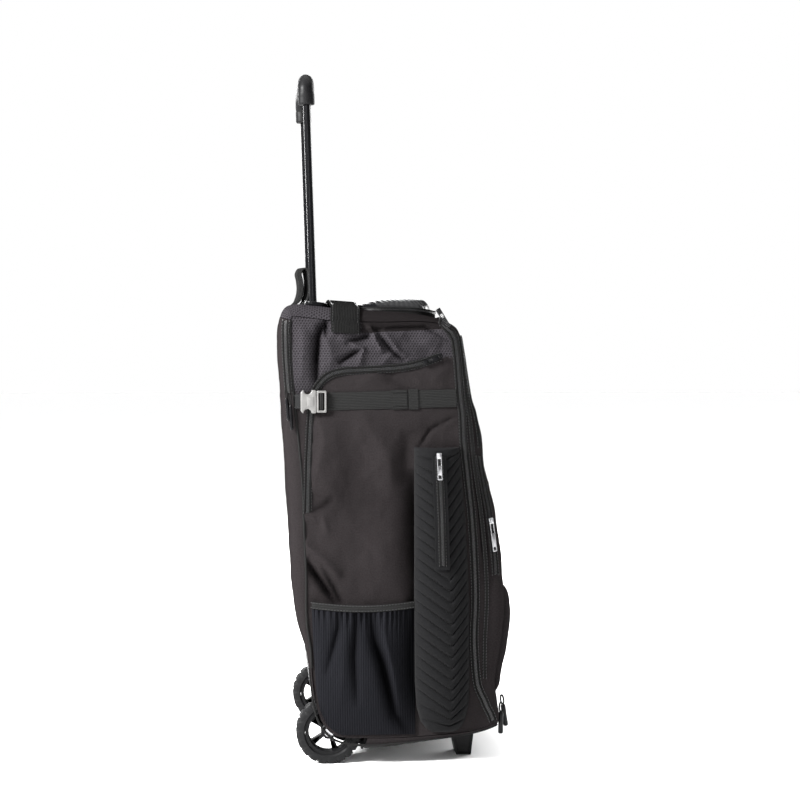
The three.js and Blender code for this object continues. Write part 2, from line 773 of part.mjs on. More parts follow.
function handleTube() {
  return leaned(upright(TUBE_RADIUS, -TUBE_BELOW, HANDLE.rise + TUBE_IN_GRIP));
}

function tubeGuide() {
  const [low, high] = [GUIDE.bottom - HANDLE.z, lidHeight(HANDLE.y) - HANDLE.z - 2 * LIFT];
  return leaned(cut(upright(GUIDE.radius, low, high), upright(GUIDE.bore, low - 1, high + 1)));
}

function handleGrip() {
  const { height, bend, legHalf, barHalf, deepHalf } = GRIP;
  const top = HANDLE.rise + height - deepHalf;
  const arc = (x, from) => {
    const turn = (angle) => new THREE.Vector3(x + bend * Math.cos(angle), 0, top - bend + bend * Math.sin(angle));
    return [0, 1, 2, 3, 4].map((k) => turn(from - (k * Math.PI) / 8));
  };
  const left = arc(-HANDLE.half + bend, Math.PI);
  const right = arc(HANDLE.half - bend, Math.PI / 2);
  const foot = (x) => new THREE.Vector3(x, 0, HANDLE.rise);
  const corners = [foot(-HANDLE.half), ...left, ...right, foot(HANDLE.half)];
  const loops = corners.map((corner, k) => {
    const [before, after] = [corners[Math.max(0, k - 1)], corners[Math.min(corners.length - 1, k + 1)]];
    const along = after.clone().sub(before).normalize();
    const out = new THREE.Vector3(-along.z, 0, along.x);
    const acrossHalf = THREE.MathUtils.lerp(barHalf, legHalf, Math.abs(along.z));
    return { corner, out, acrossHalf };
  });
  const sides = ROUND_SIDES / 2;
  const positions = [];
  const index = [];
  loops.forEach(({ corner, out, acrossHalf }) => {
    for (let i = 0; i < sides; i += 1) {
      const angle = (2 * Math.PI * (i + 0.5)) / sides;
      const place = corner.clone().addScaledVector(out, deepHalf * Math.cos(angle));
      positions.push(place.x, place.y + acrossHalf * Math.sin(angle), place.z);
    }
  });
  for (let k = 0; k + 1 < loops.length; k += 1) {
    for (let i = 0; i < sides; i += 1) {
      const [a, b] = [k * sides + i, k * sides + ((i + 1) % sides)];
      index.push(a, b, b + sides, a, b + sides, a + sides);
    }
  }
  const last = (loops.length - 1) * sides;
  for (let i = 1; i + 1 < sides; i += 1) {
    index.push(0, i + 1, i, last, last + i, last + i + 1);
  }
  const sockets = [-1, 1].map((side) =>
    upright(TUBE_RADIUS + SEAM, HANDLE.rise - 1, HANDLE.rise + TUBE_IN_GRIP + SEAM, side * HANDLE.half),
  );
  return leaned(cut(geometryFrom(positions, index), ...sockets));
}

function handleBezel() {
  const { half, back, front, top, bevel } = BEZEL;
  const under = [back, (back + front) / 2, front].map((y) => [y, lidHeight(y) + LIFT]);
  const shape = polygon([...under, [front + bevel, top], [back - bevel, top]]);
  const holes = [-1, 1].map((side) => leaned(upright(GUIDE.bore, -30, 30, side * HANDLE.half)));
  return cut(acrossBag(shape, -half, half), ...holes);
}

function topPanel() {
  const holes = [-1, 1].map((side) => leaned(upright(GUIDE.radius + LIFT, -40, 30, side * HANDLE.half)));
  return cut(panel("top", CLOTH), ...holes);
}

// Wheels, axles, housings, base and feet

function ringShape(outer, inner) {
  const shape = new THREE.Shape(outer);
  shape.holes.push(new THREE.Path(inner));
  return shape;
}

function circle(radius, sides, from = 0, to = 2 * Math.PI) {
  return Array.from({ length: sides }, (_, k) => {
    const angle = from + ((to - from) * k) / sides;
    return new THREE.Vector2(AXLE.y + radius * Math.cos(angle), AXLE.z + radius * Math.sin(angle));
  });
}

const wheelInner = -WHEEL.x + WHEEL.width / 2;
const wheelOuter = -WHEEL.x - WHEEL.width / 2;

function tyre() {
  const { radius, lugs, lugDepth, rim } = WHEEL;
  const pitch = (2 * Math.PI) / lugs;
  const tread = Array.from({ length: lugs }, (_, k) => {
    const at = (share, r) => circle(r, 1, -Math.PI / 2 + (k + share) * pitch)[0];
    return [at(-0.34, radius), at(0.34, radius), at(0.42, radius - lugDepth), at(0.58, radius - lugDepth)];
  }).flat();
  return acrossBag(ringShape(tread, circle(rim + SEAM, 2 * ROUND_SIDES)), wheelOuter, wheelInner);
}

function rim() {
  const shape = ringShape(circle(WHEEL.rim, 2 * ROUND_SIDES), circle(WHEEL.bore, ROUND_SIDES));
  const sector = (2 * Math.PI) / SPOKES.count;
  for (let k = 0; k < SPOKES.count; k += 1) {
    const [from, to] = [(k - SPOKES.share / 2) * sector, (k + SPOKES.share / 2) * sector];
    const outer = [...circle(SPOKES.outer, 4, from, to), ...circle(SPOKES.outer, 1, to)];
    const inner = [...circle(SPOKES.inner, 1, to), ...circle(SPOKES.inner, 1, from)];
    shape.holes.push(new THREE.Path([...outer, ...inner]));
  }
  return acrossBag(shape, wheelOuter + 2, wheelInner - 2);
}

function axle() {
  const { radius, inner, outer, head, headWidth } = AXLE;
  return join(
    crossBar(radius, -outer, -inner, ROUND_SIDES),
    crossBar(head, -outer - headWidth, -outer, ROUND_SIDES),
  );
}

function wheelHousing() {
  const { bore, wall, inner, outer } = HOUSING;
  const sides = 2 * ROUND_SIDES;
  const cup = cut(
    crossBar(bore + wall, -outer, -inner, sides),
    crossBar(bore, -outer - 1, -inner - wall, sides),
    crossBar(AXLE.radius + SEAM, -outer, -inner + 1, ROUND_SIDES),
  );
  const { start, end } = span("base");
  const profile = Array.from({ length: 2 * (end - start) + 1 }, (_, k) => {
    const { y, z } = outlineAt(start + k / 2);
    return [y, z];
  });
  const bagSide = acrossBag(polygon([...profile, [profile[0][0], profile.at(-1)[1]]]), -outer - 1, -inner + 1);
  return geometryOf(solid(cup).intersect(solid(bagSide)));
}

function baseTub() {
  const slots = [-1, 1].map((side) => {
    const { bore, wall, inner, outer } = HOUSING;
    return crossBar(bore + wall + SEAM, side * (inner - SEAM), side * (outer + SEAM), 2 * ROUND_SIDES);
  });
  return cut(panel("base", BASE_WALL), ...slots);
}

function foot() {
  const { x, half, back, front, soleBack, soleFront, top } = FOOT;
  const under = (y) => outlineAt(outlineWhere("base", (place) => place.y, y)).z - LIFT;
  const shape = polygon([
    [soleFront, 0],
    [soleBack, 0],
    [back, Math.min(top, under(back))],
    [front, Math.min(top, under(front))],
  ]);
  return acrossBag(shape, -x - half, -x + half);
}

// Zips and pulls on the sleeves, the front pocket, the lid and the back

const zipTape = (stations) => strip(stations, ZIP_HALF_WIDTH, ZIP_THICKNESS);
const pull = (stations) => strip(stations, PULL_WIDTH / 2, PULL_THICKNESS);
const ON_ZIP = 2 * LIFT + ZIP_THICKNESS + SEAM;
const [, backEdge, frontEdge] = ACROSS;

function sidePull({ y, high, low }) {
  const places = [high, low].map((z) => ({ y, z }));
  return pull(sideStations(places, ON_ZIP, 1));
}

function lidZip() {
  const { clear, width, height, bends } = LID_ZIP;
  const block = (out, foot, top) => {
    const depths = [POD.front - out, ...bends, POD.back + out];
    const surface = (lift) => (i, j) => {
      const x = (2 * i - 1) * (POD.half + out);
      return new THREE.Vector3(x, depths[j], lidHeight(depths[j]) + lift);
    };
    return between(1, depths.length - 1, surface(top), surface(foot));
  };
  return cut(block(clear + width, LIFT, LIFT + height), block(clear, 0, 2 * height));
}

function mainPull() {
  const { x, y, high, low, radius } = MAIN_PULL;
  const bar = new THREE.CylinderGeometry(radius, radius, high - low, ROUND_SIDES / 2);
  return bar.rotateX(Math.PI / 2).translate(-x, y, (high + low) / 2);
}

const bag = new THREE.Group();
bag.name = "wheeled_catcher_bag";

function add(name, geometry, look) {
  const mesh = new THREE.Mesh(geometry, new THREE.MeshStandardMaterial(COLOURS[look]));
  mesh.name = name;
  bag.add(mesh);
  return mesh;
}

function addPair(name, geometry, look) {
  add(`${name}_left`, geometry, look);
  add(`${name}_right`, geometry, look).scale.x = -1;
}

add("back_panel", panel("back", CLOTH), "mesh");
add("top_panel", topPanel(), "cloth");
add("front_flap", panel("front", CLOTH), "cloth");
add("base_tub", baseTub(), "plastic");
addPair("side_panel", sidePanel(), "cloth");
add("front_pocket_upper", frontPocket(UPPER_POCKET), "cloth");
add("front_pocket_lower", frontPocket(LOWER_POCKET), "cloth");
add("lid_pod", lidPod(), "gloss");
addPair("bat_sleeve", batSleeve(), "neoprene");
addPair("elastic_pocket", elasticPocket(), "stretch");
addPair("pocket_binding", pocketBinding(), "webbing");
add("main_zip", mainZip(), "zip");
addPair("side_zip", sideZip(), "zip");
addPair("back_zip", backZip(), "zip");
addPair("sleeve_zip", zipTape(sleeveStations(SLEEVE_ZIP, LIFT, 6)), "zip");
add("pocket_zip", zipTape(panelStations("front", UPPER_POCKET_ZIP, frontEdge, LIFT, 6)), "zip");
add("lid_zip", lidZip(), "zip");
addPair("strap", strap(), "webbing");
addPair("strap_tab", strapTab(), "rubber");
addPair("buckle_socket", buckleSocket(), "buckle");
addPair("buckle_plug", bucklePlug(), "buckle");
addPair("side_pull", sidePull(SIDE_PULL), "gloss");
addPair("sleeve_pull", pull(sleeveStations(SLEEVE_PULL, ON_ZIP, 1)), "steel");
addPair("main_pull", mainPull(), "gloss");
addPair("back_pull", pull(panelStations("back", BACK_PULL, backEdge, LIFT, 1)), "gloss");
add("pocket_pull", pull(panelStations("front", UPPER_POCKET_PULL, frontEdge, ON_ZIP, 1)), "steel");
add("lid_pull", sidePull(LID_PULL), "gloss");
add("grab_handle", grabHandle(), "webbing");
add("haul_loop", haulLoop(), "webbing");
add("handle_bezel", handleBezel(), "gloss");
addPair("handle_tube", handleTube(), "gloss");
addPair("tube_guide", tubeGuide(), "plastic");
add("handle_grip", handleGrip(), "plastic");
addPair("tyre", tyre(), "rubber");
addPair("rim", rim(), "plastic");
addPair("axle", axle(), "steel");
addPair("wheel_housing", wheelHousing(), "plastic");
addPair("foot", foot(), "plastic");

export default bag;
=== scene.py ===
"""Looks of a wheeled catcher bag: cloth, webbing, zips, mouldings and wheels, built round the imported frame.

Places and sizes are in millimetres in the bag's own frame, and become metres when a mesh is made.
X runs across the bag, -Y is the front, +Y the back with the wheels, and Z is up from the floor.
Pieces that come in pairs are built on the left (-X) and mirrored.
"""

import math
from collections import namedtuple
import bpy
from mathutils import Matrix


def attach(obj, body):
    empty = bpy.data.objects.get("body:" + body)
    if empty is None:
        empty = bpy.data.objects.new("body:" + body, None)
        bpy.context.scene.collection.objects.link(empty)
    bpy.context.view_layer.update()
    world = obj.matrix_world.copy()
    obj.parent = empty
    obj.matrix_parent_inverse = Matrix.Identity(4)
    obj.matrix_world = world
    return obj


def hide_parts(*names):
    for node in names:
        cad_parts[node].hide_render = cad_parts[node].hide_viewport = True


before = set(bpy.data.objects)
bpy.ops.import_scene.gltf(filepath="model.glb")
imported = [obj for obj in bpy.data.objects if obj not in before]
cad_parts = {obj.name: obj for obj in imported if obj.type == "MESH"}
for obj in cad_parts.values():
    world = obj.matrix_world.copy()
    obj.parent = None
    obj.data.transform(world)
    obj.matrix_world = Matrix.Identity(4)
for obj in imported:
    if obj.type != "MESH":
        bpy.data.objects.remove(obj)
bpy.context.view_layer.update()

from types import SimpleNamespace as Sizes

import bmesh
import bpy
import numpy as np
from bpy.props import FloatProperty, FloatVectorProperty, IntProperty, PointerProperty
from mathutils import Matrix, Vector, noise

bl_info = {
    "name": "Wheeled catcher bag",
    "version": (1, 0, 0),
    "blender": (4, 5, 0),
    "location": "View3D > Sidebar > Bag",
    "description": "Builds the cloth, trim and mouldings of a wheeled catcher bag round its frame",
    "category": "Mesh",
}

MM = 0.001
SIDES = ("left", "right")

# The body's outline from the side: up the back, over the top, down the front and along the base.
# rim is how far the panel turns in from the outline to its seam with the side panel.
Row = namedtuple("Row", "y z rim")
OUTLINE = {
    "back": (
        Row(139, 150, 4), Row(143, 176, 7), Row(153, 208, 12), Row(159, 240, 16), Row(163, 283, 20),
        Row(167, 359, 21), Row(171, 434, 22), Row(176, 510, 20), Row(180, 580, 17), Row(184, 640, 18),
    ),
    "top": (
        Row(181, 680, 16), Row(173, 695, 17), Row(158, 700, 19), Row(100, 695, 20), Row(30, 690, 17),
        Row(-30, 685, 11),
    ),
    "front": (
        Row(-58, 679, 8), Row(-72, 673.5, 8), Row(-85, 666, 8), Row(-92, 656, 8), Row(-98, 627, 9),
        Row(-104, 590, 12), Row(-111, 554, 16), Row(-119, 532, 22), Row(-126, 500, 27), Row(-128, 464, 25),
        Row(-136, 425, 29), Row(-145, 388, 34), Row(-157, 314, 41), Row(-160, 250, 42), Row(-155, 180, 39),
        Row(-147, 125, 26), Row(-149, 107, 20), Row(-151, 92, 16), Row(-154, 70, 9),
    ),
    "base": (
        Row(-151, 57, 7), Row(-138, 51, 6), Row(-106, 43, 6), Row(-60, 36, 9), Row(1, 27, 15),
        Row(46, 23, 19), Row(84, 28, 15), Row(107, 40, 9), Row(122, 59, 6), Row(131, 83, 5), Row(136, 117, 4),
    ),
}
OUTLINE_ROWS = np.array([row for rows in OUTLINE.values() for row in rows], float)
HALF_WIDTH = 184
MID_HEIGHT = 375
DRAWN_IN = 9
MID_DEPTH = 10
HALF_DEPTH = 150
BOWED_IN = 6
CORNER = 20
SIDE_INSET = 1
ROW_TRIM = 0.012

# Steps of the panels' grids; few of the side's rows lie behind the elastic pocket and half lie over the yoke
PANEL_STEPS = {"corner": 9, "flat": 56, "back": 7, "top": 10, "front": 6, "base": 9, "base_flat": 60}
SIDE_STEPS = Sizes(rows=220, columns=160)
SIDE_ROWS = (0, 20, 110, 219)
SIDE_SHARES = (0.0, 0.27, 0.8, 1.0)
PIPING = Sizes(inset=0.4, lift=0.2, base_turn=0.95, base_lift=0.5, base_steps=160)
OUTLINE_STEPS = 400
LEFT_RIM = -1.0
LIFT = 0.6
CLOTH = 2.5

# Bat sleeve, one row a section: its back and front edges and how far it stands out
Section = namedtuple("Section", "z back front bulge")
SLEEVE = (
    Section(50, -48, -82, 6), Section(56, -39, -91, 12), Section(68, -30, -98, 18),
    Section(90, -24, -103, 22), Section(131, -21, -105, 25), Section(253, -20, -104, 26),
    Section(374, -20, -98, 25), Section(484, -20, -89, 23),
)
RIBS = Sizes(
    back_slope=0.72, front_slope=1.25, tip_from=0.5, tip_low=0.3, tip_top=0.02, drop=0.4,
    fade=10, groove=1.7, crown=0.35, roundness=0.85, least=0.5, steps=12, columns=44,
)
SLEEVE_WALL = 3

# Elastic pocket: its rounded back edge, one row a height
Place = namedtuple("Place", "y z")
POCKET_BACK = (
    Place(88, 48), Place(102, 54), Place(112, 64), Place(122, 86), Place(128, 118), Place(132, 180),
    Place(135, 250),
)
POCKET_FRONT = -22
POCKET_TOP = 240.5
POCKET_SAG = 4.5
POCKET_DEPTH = 15.5
POCKET_MOUTH = 0.7
POCKET_WALL = 1.5
POCKET_STEPS = Sizes(rows=76, columns=160)
BINDING = Sizes(height=11, thickness=3.6, above=0.4, stitches=(-0.32, 0.36))

# Gathers under the binding: how soon they die out below it, and the waves that make them uneven
Wave = namedtuple("Wave", "height rate start")
GATHERS = Sizes(power=12, mean=0.7, end_power=0.4, end=0.02)
GATHER_SHIFTS = (Wave(0.012, 9, 0), Wave(0.01, 23, 0))
GATHER_SWELL = Wave(0.3, 17, 1)

# The side pocket's zip, and the rest of the edge of the cloth that swells behind it
SIDE_ZIP = (
    Place(-59, 620), Place(-29, 610), Place(1, 604), Place(47, 601), Place(84, 599), Place(107, 593),
    Place(122, 580), Place(131, 562), Place(136, 525), Place(139, 465), Place(141, 386),
)
POCKET_EDGE = SIDE_ZIP + (Place(138, 256), Place(-14, 252), Place(-16, 486), Place(-84, 544), Place(-84, 614))
YOKE_CORNERS = 8
YOKE_EDGE = SIDE_ZIP[:YOKE_CORNERS] + (
    Place(150, 560), Place(157, 600), Place(161, 650), Place(156, 668), Place(60, 664), Place(-66, 664),
)
YOKE_LOW = 566
# The band under the lid, where the plain cloth is darkened with painted shade
LID_BAND = Sizes(back=60, z=656, rise=0.05)

# How the side's cloth stands out: the reach of its swells, and where a strap or a pocket holds it in
SIDE_CLOTH = Sizes(
    pocket_reach=26, yoke_reach=14, strap_hold=0.8, strap_reach=24, cover_drop=4,
    cover_reach=12, edge_share=0.04,
)
FLAP_DIP = Sizes(z=372, reach=84, turn=1.12, over=0.16, clear=100, depth=11)

# Small wrinkles: how wide they are, the seed that places them and their share of the full depth
Wrinkle = namedtuple("Wrinkle", "spread seed share")
WRINKLES = {"side": Wrinkle(46, 3, 1.0), "panel": Wrinkle(60, 11, 1.0), "front_pocket": Wrinkle(52, 21, 0.8)}
WRINKLE_NOISE = {"dimension": 0.9, "lacunarity": 2.0, "octaves": 4}

# Folds in the cloth: the places that a fold runs through, how far it spreads to its back and to its front,
# and its height, below zero for a valley
Fold = namedtuple("Fold", "path back front height")
CREASE = 1.4
FOLD_ENDS = 0.55
# Painted shade in the cloth's colour: the valleys of the folds are darkened, fully at this depth in
# millimetres and by this share
PAINTED_SHADE = "valley"
PAINTED_SHADE_DEPTH = 13.0
PAINTED_SHADE_STRENGTH = 0.85
YOKE_FOLDS = (
    Fold(((115, 676), (123, 650), (126, 618), (126, 576)), 6, 4, -15),
    Fold(((147, 672), (149, 570)), 11, 12, 6),
    Fold(((114, 698), (112, 648)), 3, 4, -12),
    Fold(((94, 650), (72, 640), (57, 632), (63, 606)), 4, 4, 7),
    Fold(((48, 668), (38, 646), (27, 626)), 4, 4, 9),
    Fold(((84, 641), (60, 647), (40, 658)), 5, 6, -10),
    Fold(((35, 656), (12, 628), (-8, 614)), 3, 4, -9),
    Fold(((28, 663), (12, 640), (-8, 618)), 4, 6, 6),
    Fold(((95, 611), (58, 632)), 4, 4, -11),
    Fold(((57, 684), (43, 658)), 4, 5, 6),
    Fold(((113, 656), (104, 620), (109, 594)), 8, 11, 5),
    Fold(((52, 660), (0, 664), (-37, 665), (-78, 642)), 3, 3, -5),
    Fold(((-4, 654), (-46, 626)), 11, 11, -4),
    Fold(((-14, 643), (-62, 639)), 9, 9, 3),
    Fold(((30, 608), (4, 634)), 6, 6, 4),
)
SIDE_FOLDS = YOKE_FOLDS + (
    Fold(((126, 545), (115, 496), (132, 415)), 12, 26, 8),
    Fold(((134, 386), (116, 396), (100, 410)), 4, 8, -5),
    Fold(((152, 382), (118, 377), (110, 354)), 6, 8, 6),
    Fold(((148, 342), (118, 316), (90, 291)), 8, 8, 9),
    Fold(((144, 314), (119, 279), (94, 242)), 5, 5, -14),
    Fold(((120, 306), (101, 272), (84, 238)), 4, 5, -9),
    Fold(((-9, 508), (-4, 424)), 12, 12, -4.5),
    Fold(((-20, 452), (-22, 400), (-24, 300), (-25, 140)), 15, 8, -13),
    Fold(((36, 597), (10, 582), (-14, 567)), 7, 12, -4),
    Fold(((-25, 480), (-45, 511), (-94, 536)), 2.5, 4, -4),
    Fold(((88, 520), (76, 420), (60, 310)), 36, 36, -5),
    Fold(((64, 538), (20, 470), (12, 408)), 24, 16, 5),
    Fold(((96, 380), (40, 340), (8, 292)), 26, 26, 4),
    Fold(((66, 580), (14, 594)), 12, 12, 3),
)
POCKET_FOLDS = (
    Fold(((93, 256), (95, 211), (101, 186), (114, 140)), 6, 4, -9),
    Fold(((65, 256), (69, 198), (71, 168), (66, 92)), 8, 5, -10),
    Fold(((51, 262), (40, 190), (28, 157), (20, 122), (10, 78), (-10, 44)), 8, 8, -16),
    Fold(((-19, 275), (-22, 160), (-26, 40)), 24, 8, -17),
    Fold(((130, 104), (112, 54)), 4, 6, -6),
    Fold(((83, 212), (93, 80)), 11, 11, 3),
    Fold(((35, 250), (22, 190), (10, 130), (1, 74)), 7, 8, 6),
    Fold(((122, 224), (124, 120)), 8, 8, 3),
)

# Cloth cut flat: its width and length, and its area where the cut isn't a rectangle, in metres
Cut = namedtuple("Cut", "width length area")

# Domed pieces: where they lie, half their width across the bag, and how far they stand out
Dome = namedtuple("Dome", "half low high depth wall power")
FRONT_POCKETS = {
    "front_pocket_upper": Dome(122, 268, 470, 5, 2, 5),
    "front_pocket_lower": Dome(126, 100, 263, 25.7, 2.5, 3),
}
DOME_STEPS = 64
POCKET_SEAM = Sizes(inset=1, corner=9, lift=0.9, share=0.9, step=4)
POD = Sizes(
    half=104, back=58, front=-59, top=716.5, across=2.6, front_power=4, back_power=2.2,
    back_dome=3.4, flute=1.6, flute_centre=-180, tip=0.9999, rows=150, columns=120,
)
LID_ZIP = Sizes(
    clear=1, width=5, height=4, front_rise=8, corner=40, wall=1.2, teeth_drop=2.6,
    step=3, rim_sides=8,
)

# A rounded box: its sides, the rounding of its edges, and how high its middle stands
Block = namedtuple("Block", "sides bevel lift")

# Teeth of a zip: how far each row lies from the middle, half a tooth's width, its share of the pitch,
# its height, and how far the teeth stand above the tape
Teeth = namedtuple("Teeth", "row half share height lift")
ZIP_TEETH = Teeth(1.1, 1.2, 0.34, 1.28, 0.8)
LID_TEETH = Teeth(0.75, 0.9, 0.36, 0.8, 0.0)

# Zips, straps and webbing
ZIP = Sizes(
    half=4, tape=1.0, tape_over=2.6, welt=1.5, welt_in=0.2, welt_sides=10,
    stitch_over=1.8, stitch_lift=0.9,
)
STITCH = Sizes(gap=1.35, half=0.35, height=0.45)
BOX_TAPER = 0.72
STRIP = Sizes(step=4.0, bends=12, seam_steps=200, seam_step=12.0, panel_steps=40)
RIBBON = Sizes(round=1.2, edge_steps=5, top=(0.5, 0.0, -0.5))
CORD_SIDES = 12
CORNER_STEPS = 5
WIDE_CORNER_STEPS = 9
MAIN_ZIP = Sizes(inset=4, on_flap=0.5, half=4.2, low=0.6, high=2, flat_steps=60, step=3)
BACK_ZIP = Sizes(low=566, high=676, turn=1.2)
Band = namedtuple("Band", "turn low high half")
FLAP_BANDS = (Band(1.25, 130, 652, 3.4), Band(0.78, 484, 652, 4.0))
TWILL = Sizes(
    thickness=1.2, lift=1.1, pitch=1.9, slant=0.6, thread_share=0.45, thread_half=0.55,
    thread_height=0.6, stitch_in=0.9,
)
SLEEVE_ZIP = Sizes(
    low=308, high=470, half=3.6, lift=0.7, out=0.6, welt_half=11.0, welt=0.9,
    stitches=9.6, foot=7, foot_thickness=1.2, steps=60,
)
UPPER_POCKET_ZIP = Sizes(low=290, high=470, turn=0.85)
STRAP_Z = 553
STRAP_WIDTH = 27
STRAP_THICKNESS = 1.8
STRAP_LIFT = 1.2
STRAP_TUCK = 11
STRAP_BENDS = 6
STRAP_STEP = 3.0
STRAP_FRONT = Sizes(y=-84, rise=5)
STRAP_SEWN = Sizes(back=11, front=-6, lift=1.4, stitches=10)
Keeper = namedtuple("Keeper", "back front over")
KEEPERS = (Keeper(14, -9, 1.2), Keeper(-12, -26, 2.2))
KEEPER = Sizes(thickness=1.6, sunk=0.2)
BUCKLE = Sizes(back=151, split=127, front=112, width=35, thickness=8, lift=3)
SOCKET = Sizes(
    gap=0.4, scoop_at=10.5, scoop_half=6.0, scoop_depth=6.5, nose=4, cheek=2.5, cheek_in=0.8,
    corner=1.5, bevel=1.4, rib_ahead=3,
)
SOCKET_RIB = Block((10, 14, 1.2), 0.5, 4.0)
SCOOP_STEPS = 13
PLUG = {
    "in": 1, "corner": 2.0, "bevel": 1.2, "slot_in": 3.2, "slot_under": 3.4, "slot_corner": 1.0,
    "bar": 3.2, "bar_in": 5, "bar_deep": 4.0, "bar_bevel": 1.0, "bar_lift": -1,
    "wrap": 6.4, "wrap_in": 7.6, "wrap_deep": 6.6, "wrap_bevel": 1.8, "wrap_lift": 0.2,
}
MOULD_STEPS = 4
TAB = Sizes(back=159, width=22, under=4, sunk=1.0, round=1.0, step=2.0, stitches=8.5)
GRAB = Sizes(
    y=83, width=44, thickness=4, patch=656, rise=12, power=1.5, lean=0.12, round=1.4,
    lift=0.9, patch_lift=1.6, patch_gap=3, sewn=22, edge=3, corner_steps=12,
    arch_steps=39, patch_steps=8, step=4,
)
HAUL = Sizes(
    width=26, thickness=3, round=1.0, edge=3, turn=0.36, twist_over=14, bends=160, step=2,
)
HAUL_LOOP = (
    Place(173, 698.8), Place(162, 704), Place(153, 712), Place(149, 727), Place(150, 743),
    Place(152, 754), Place(147, 763), Place(139, 762), Place(135.5, 751), Place(134.5, 737),
    Place(135.5, 721), Place(140, 709), Place(147, 702),
)

# Handle, wheels and feet
HANDLE = Sizes(y=129, z=704, lean=0.033, half=97, rise=306)
TUBE_RADIUS = 5.5
TUBE_BELOW = 70
TUBE_IN_GRIP = 18
TUBE_STEPS = 30
TUBE_SIDES = 48
GUIDE_BORE = 5.7
GRIP = Sizes(
    height=51, bend=24, flank=12.6, leg_half=9.5, bar_top=15, bar_under=6,
    leg_steps=12, bend_steps=20, bar_steps=14, sides=40,
)
COLLAR = Sizes(line=20, line_half=1.6, line_depth=0.7, lip=3)
BEZEL = Sizes(
    half=118, back=142, front=108, top=704, corner=10, clear=0.2, share=0.9, bevel=1.6,
    hole_steps=40,
)
AXLE = Sizes(y=108, z=49.8)
WHEEL = Sizes(x=147, radius=49.8, half=14, steps=120)

# Left halves of the sections that the wheel is turned from
Turned = namedtuple("Turned", "across radius")
TYRE = (
    Turned(-12, 36.4), Turned(-14, 38.4), Turned(-14, 43.8), Turned(-13.4, 47.8), Turned(-12, 49.8),
    Turned(-7, 49.8), Turned(-3, 49.8), Turned(-1, 49.8),
)
RIM_RING = (Turned(-9, 30.5), Turned(-12, 31.5), Turned(-12, 36))
RIM_HUB = (Turned(-12, 4.6), Turned(-12, 10.5), Turned(-10.5, 12))
TREAD = Sizes(
    lugs=20, depth=3, steps=16, slant=0.12, groove=0.13, below=5, over=3, middle=2,
    middle_share=0.5, middle_cut=0.25,
)
SPOKES = Sizes(
    count=5, share=0.7, foot=11, tip=32, foot_spread=1.3, tip_spread=0.8, slot_foot=17,
    slot_tip=27, slot_half=0.6, slot_share=0.42, thickness=13, bevel=1.2, bevel_steps=3,
)
BASE_WALL = 3.0
HOUSING = Sizes(
    bore=55, wall=2.5, inner=128, outer=166, axle_bore=4.6, clear=0.4, beyond=24,
    trim=1, trim_steps=80, drum_steps=96,
)
FOOT = Sizes(x=98, half=20, back=-84, front=-120, sole_back=-92, sole_front=-115, top=40.5)
FOOT_RECESS = Sizes(border=4.5, slope=0.8, depth=2.2, sharp=0.35, bevel=0.9)

# A zip's slider and the bridge on it
SLIDER = (Block((7.5, 9.0, 3.0), 1.2, 2.2), Block((2.6, 7.0, 2.4), 0.9, 4.4))

# Flat pullers, with a long slot above and a square window below
PULLER = Sizes(
    half=3.6, corner=1.2, slot_half=2.2, slot_reach=0.17, slot_at=0.24, slot_corner=0.8,
    window_half=2.0, window_reach=2.2, window_corner=0.5, window_up=4.8, thickness=2.0,
    bevel=0.45, lift=2.6,
)

# Cord pulls: shares of the pull's length and radius, and the moulded end's radius along it
CORD_PULL = Sizes(neck=0.3, bow=0.6, cord=0.34, loop_steps=24, cord_sides=8, sides=20)
Swelling = namedtuple("Swelling", "share radius")
CORD_END = (
    Swelling(0.0, 0.55), Swelling(0.02, 0.8), Swelling(0.06, 0.95), Swelling(0.14, 1.0), Swelling(0.5, 0.94),
    Swelling(0.86, 1.0), Swelling(0.94, 0.97), Swelling(0.98, 0.85), Swelling(1.0, 0.6),
)

# Where the pulls hang
SIDE_PULL = (Place(-37, 611.5), Place(-63, 622.5))
SIDE_PULL_LIFT = 3.4
LID_PULL = (Place(-58, 689), Place(-72, 666))
LID_PULL_LIFT = 2.8
LID_PULL_RIDGES = Sizes(step=2.4, lift=3.0, half=3.4, half_along=0.6, height=1.2)
SLEEVE_PULL = Sizes(high=472, low=436, lift=2.0)
UPPER_POCKET_PULL = Sizes(high=373, low=326, lift=2.4)
BACK_PULL = Sizes(high=572, low=524, turn=math.pi / 3, lift=3.4, radius=2.6)
BACK_PULL_SECOND = Sizes(top=(-5, -6, -8), low=(-5, -5, -14))
PULL_STEPS = 8
CordPull = namedtuple("CordPull", "x top_y low_y high low")
MAIN_PULLS = (CordPull(138, -160, -167, 97, 49), CordPull(150, -157.5, -157, 88, 40))
MAIN_PULL_RADIUS = 4

# The camera stands where the photograph was taken from
CAMERA = Sizes(
    place=(-2642.7, 204.0, 612.5), yaw=4.71, pitch=1.33, lens=73.71, sensor=36.0, far=50.0,
)

# Studio light: soft boxes in metres and watts, a wide light overhead, and how the white walls darken
# with height and towards the camera
Lamp = namedtuple("Lamp", "name place sides power")
LAMPS = (
    Lamp("key", (-1.5, 2.6, 2.1), (0.9, 0.9), 560), Lamp("tall", (-2.7, 0.75, 1.2), (0.4, 1.9), 32),
    Lamp("front", (2.2, -2.6, 1.6), (1.8, 1.8), 150), Lamp("far", (3.0, 0.6, 1.8), (1.8, 1.8), 110),
)
LAMP_AIM = (0.0, 0.0, 0.45)
CEILING = Sizes(power=3.4, angle=80)
WALLS = {"From_Min": 0.22, "From_Max": 0.34, "To_Min": 1.0, "To_Max": 0.04}
NEAR_WALLS = {"From_Min": -0.5, "From_Max": 0.2, "To_Min": 0.3, "To_Max": 1.0}
FLOOR = Sizes(half=30.0, roughness=0.6, tone_scale=3.0, dark=0.99)

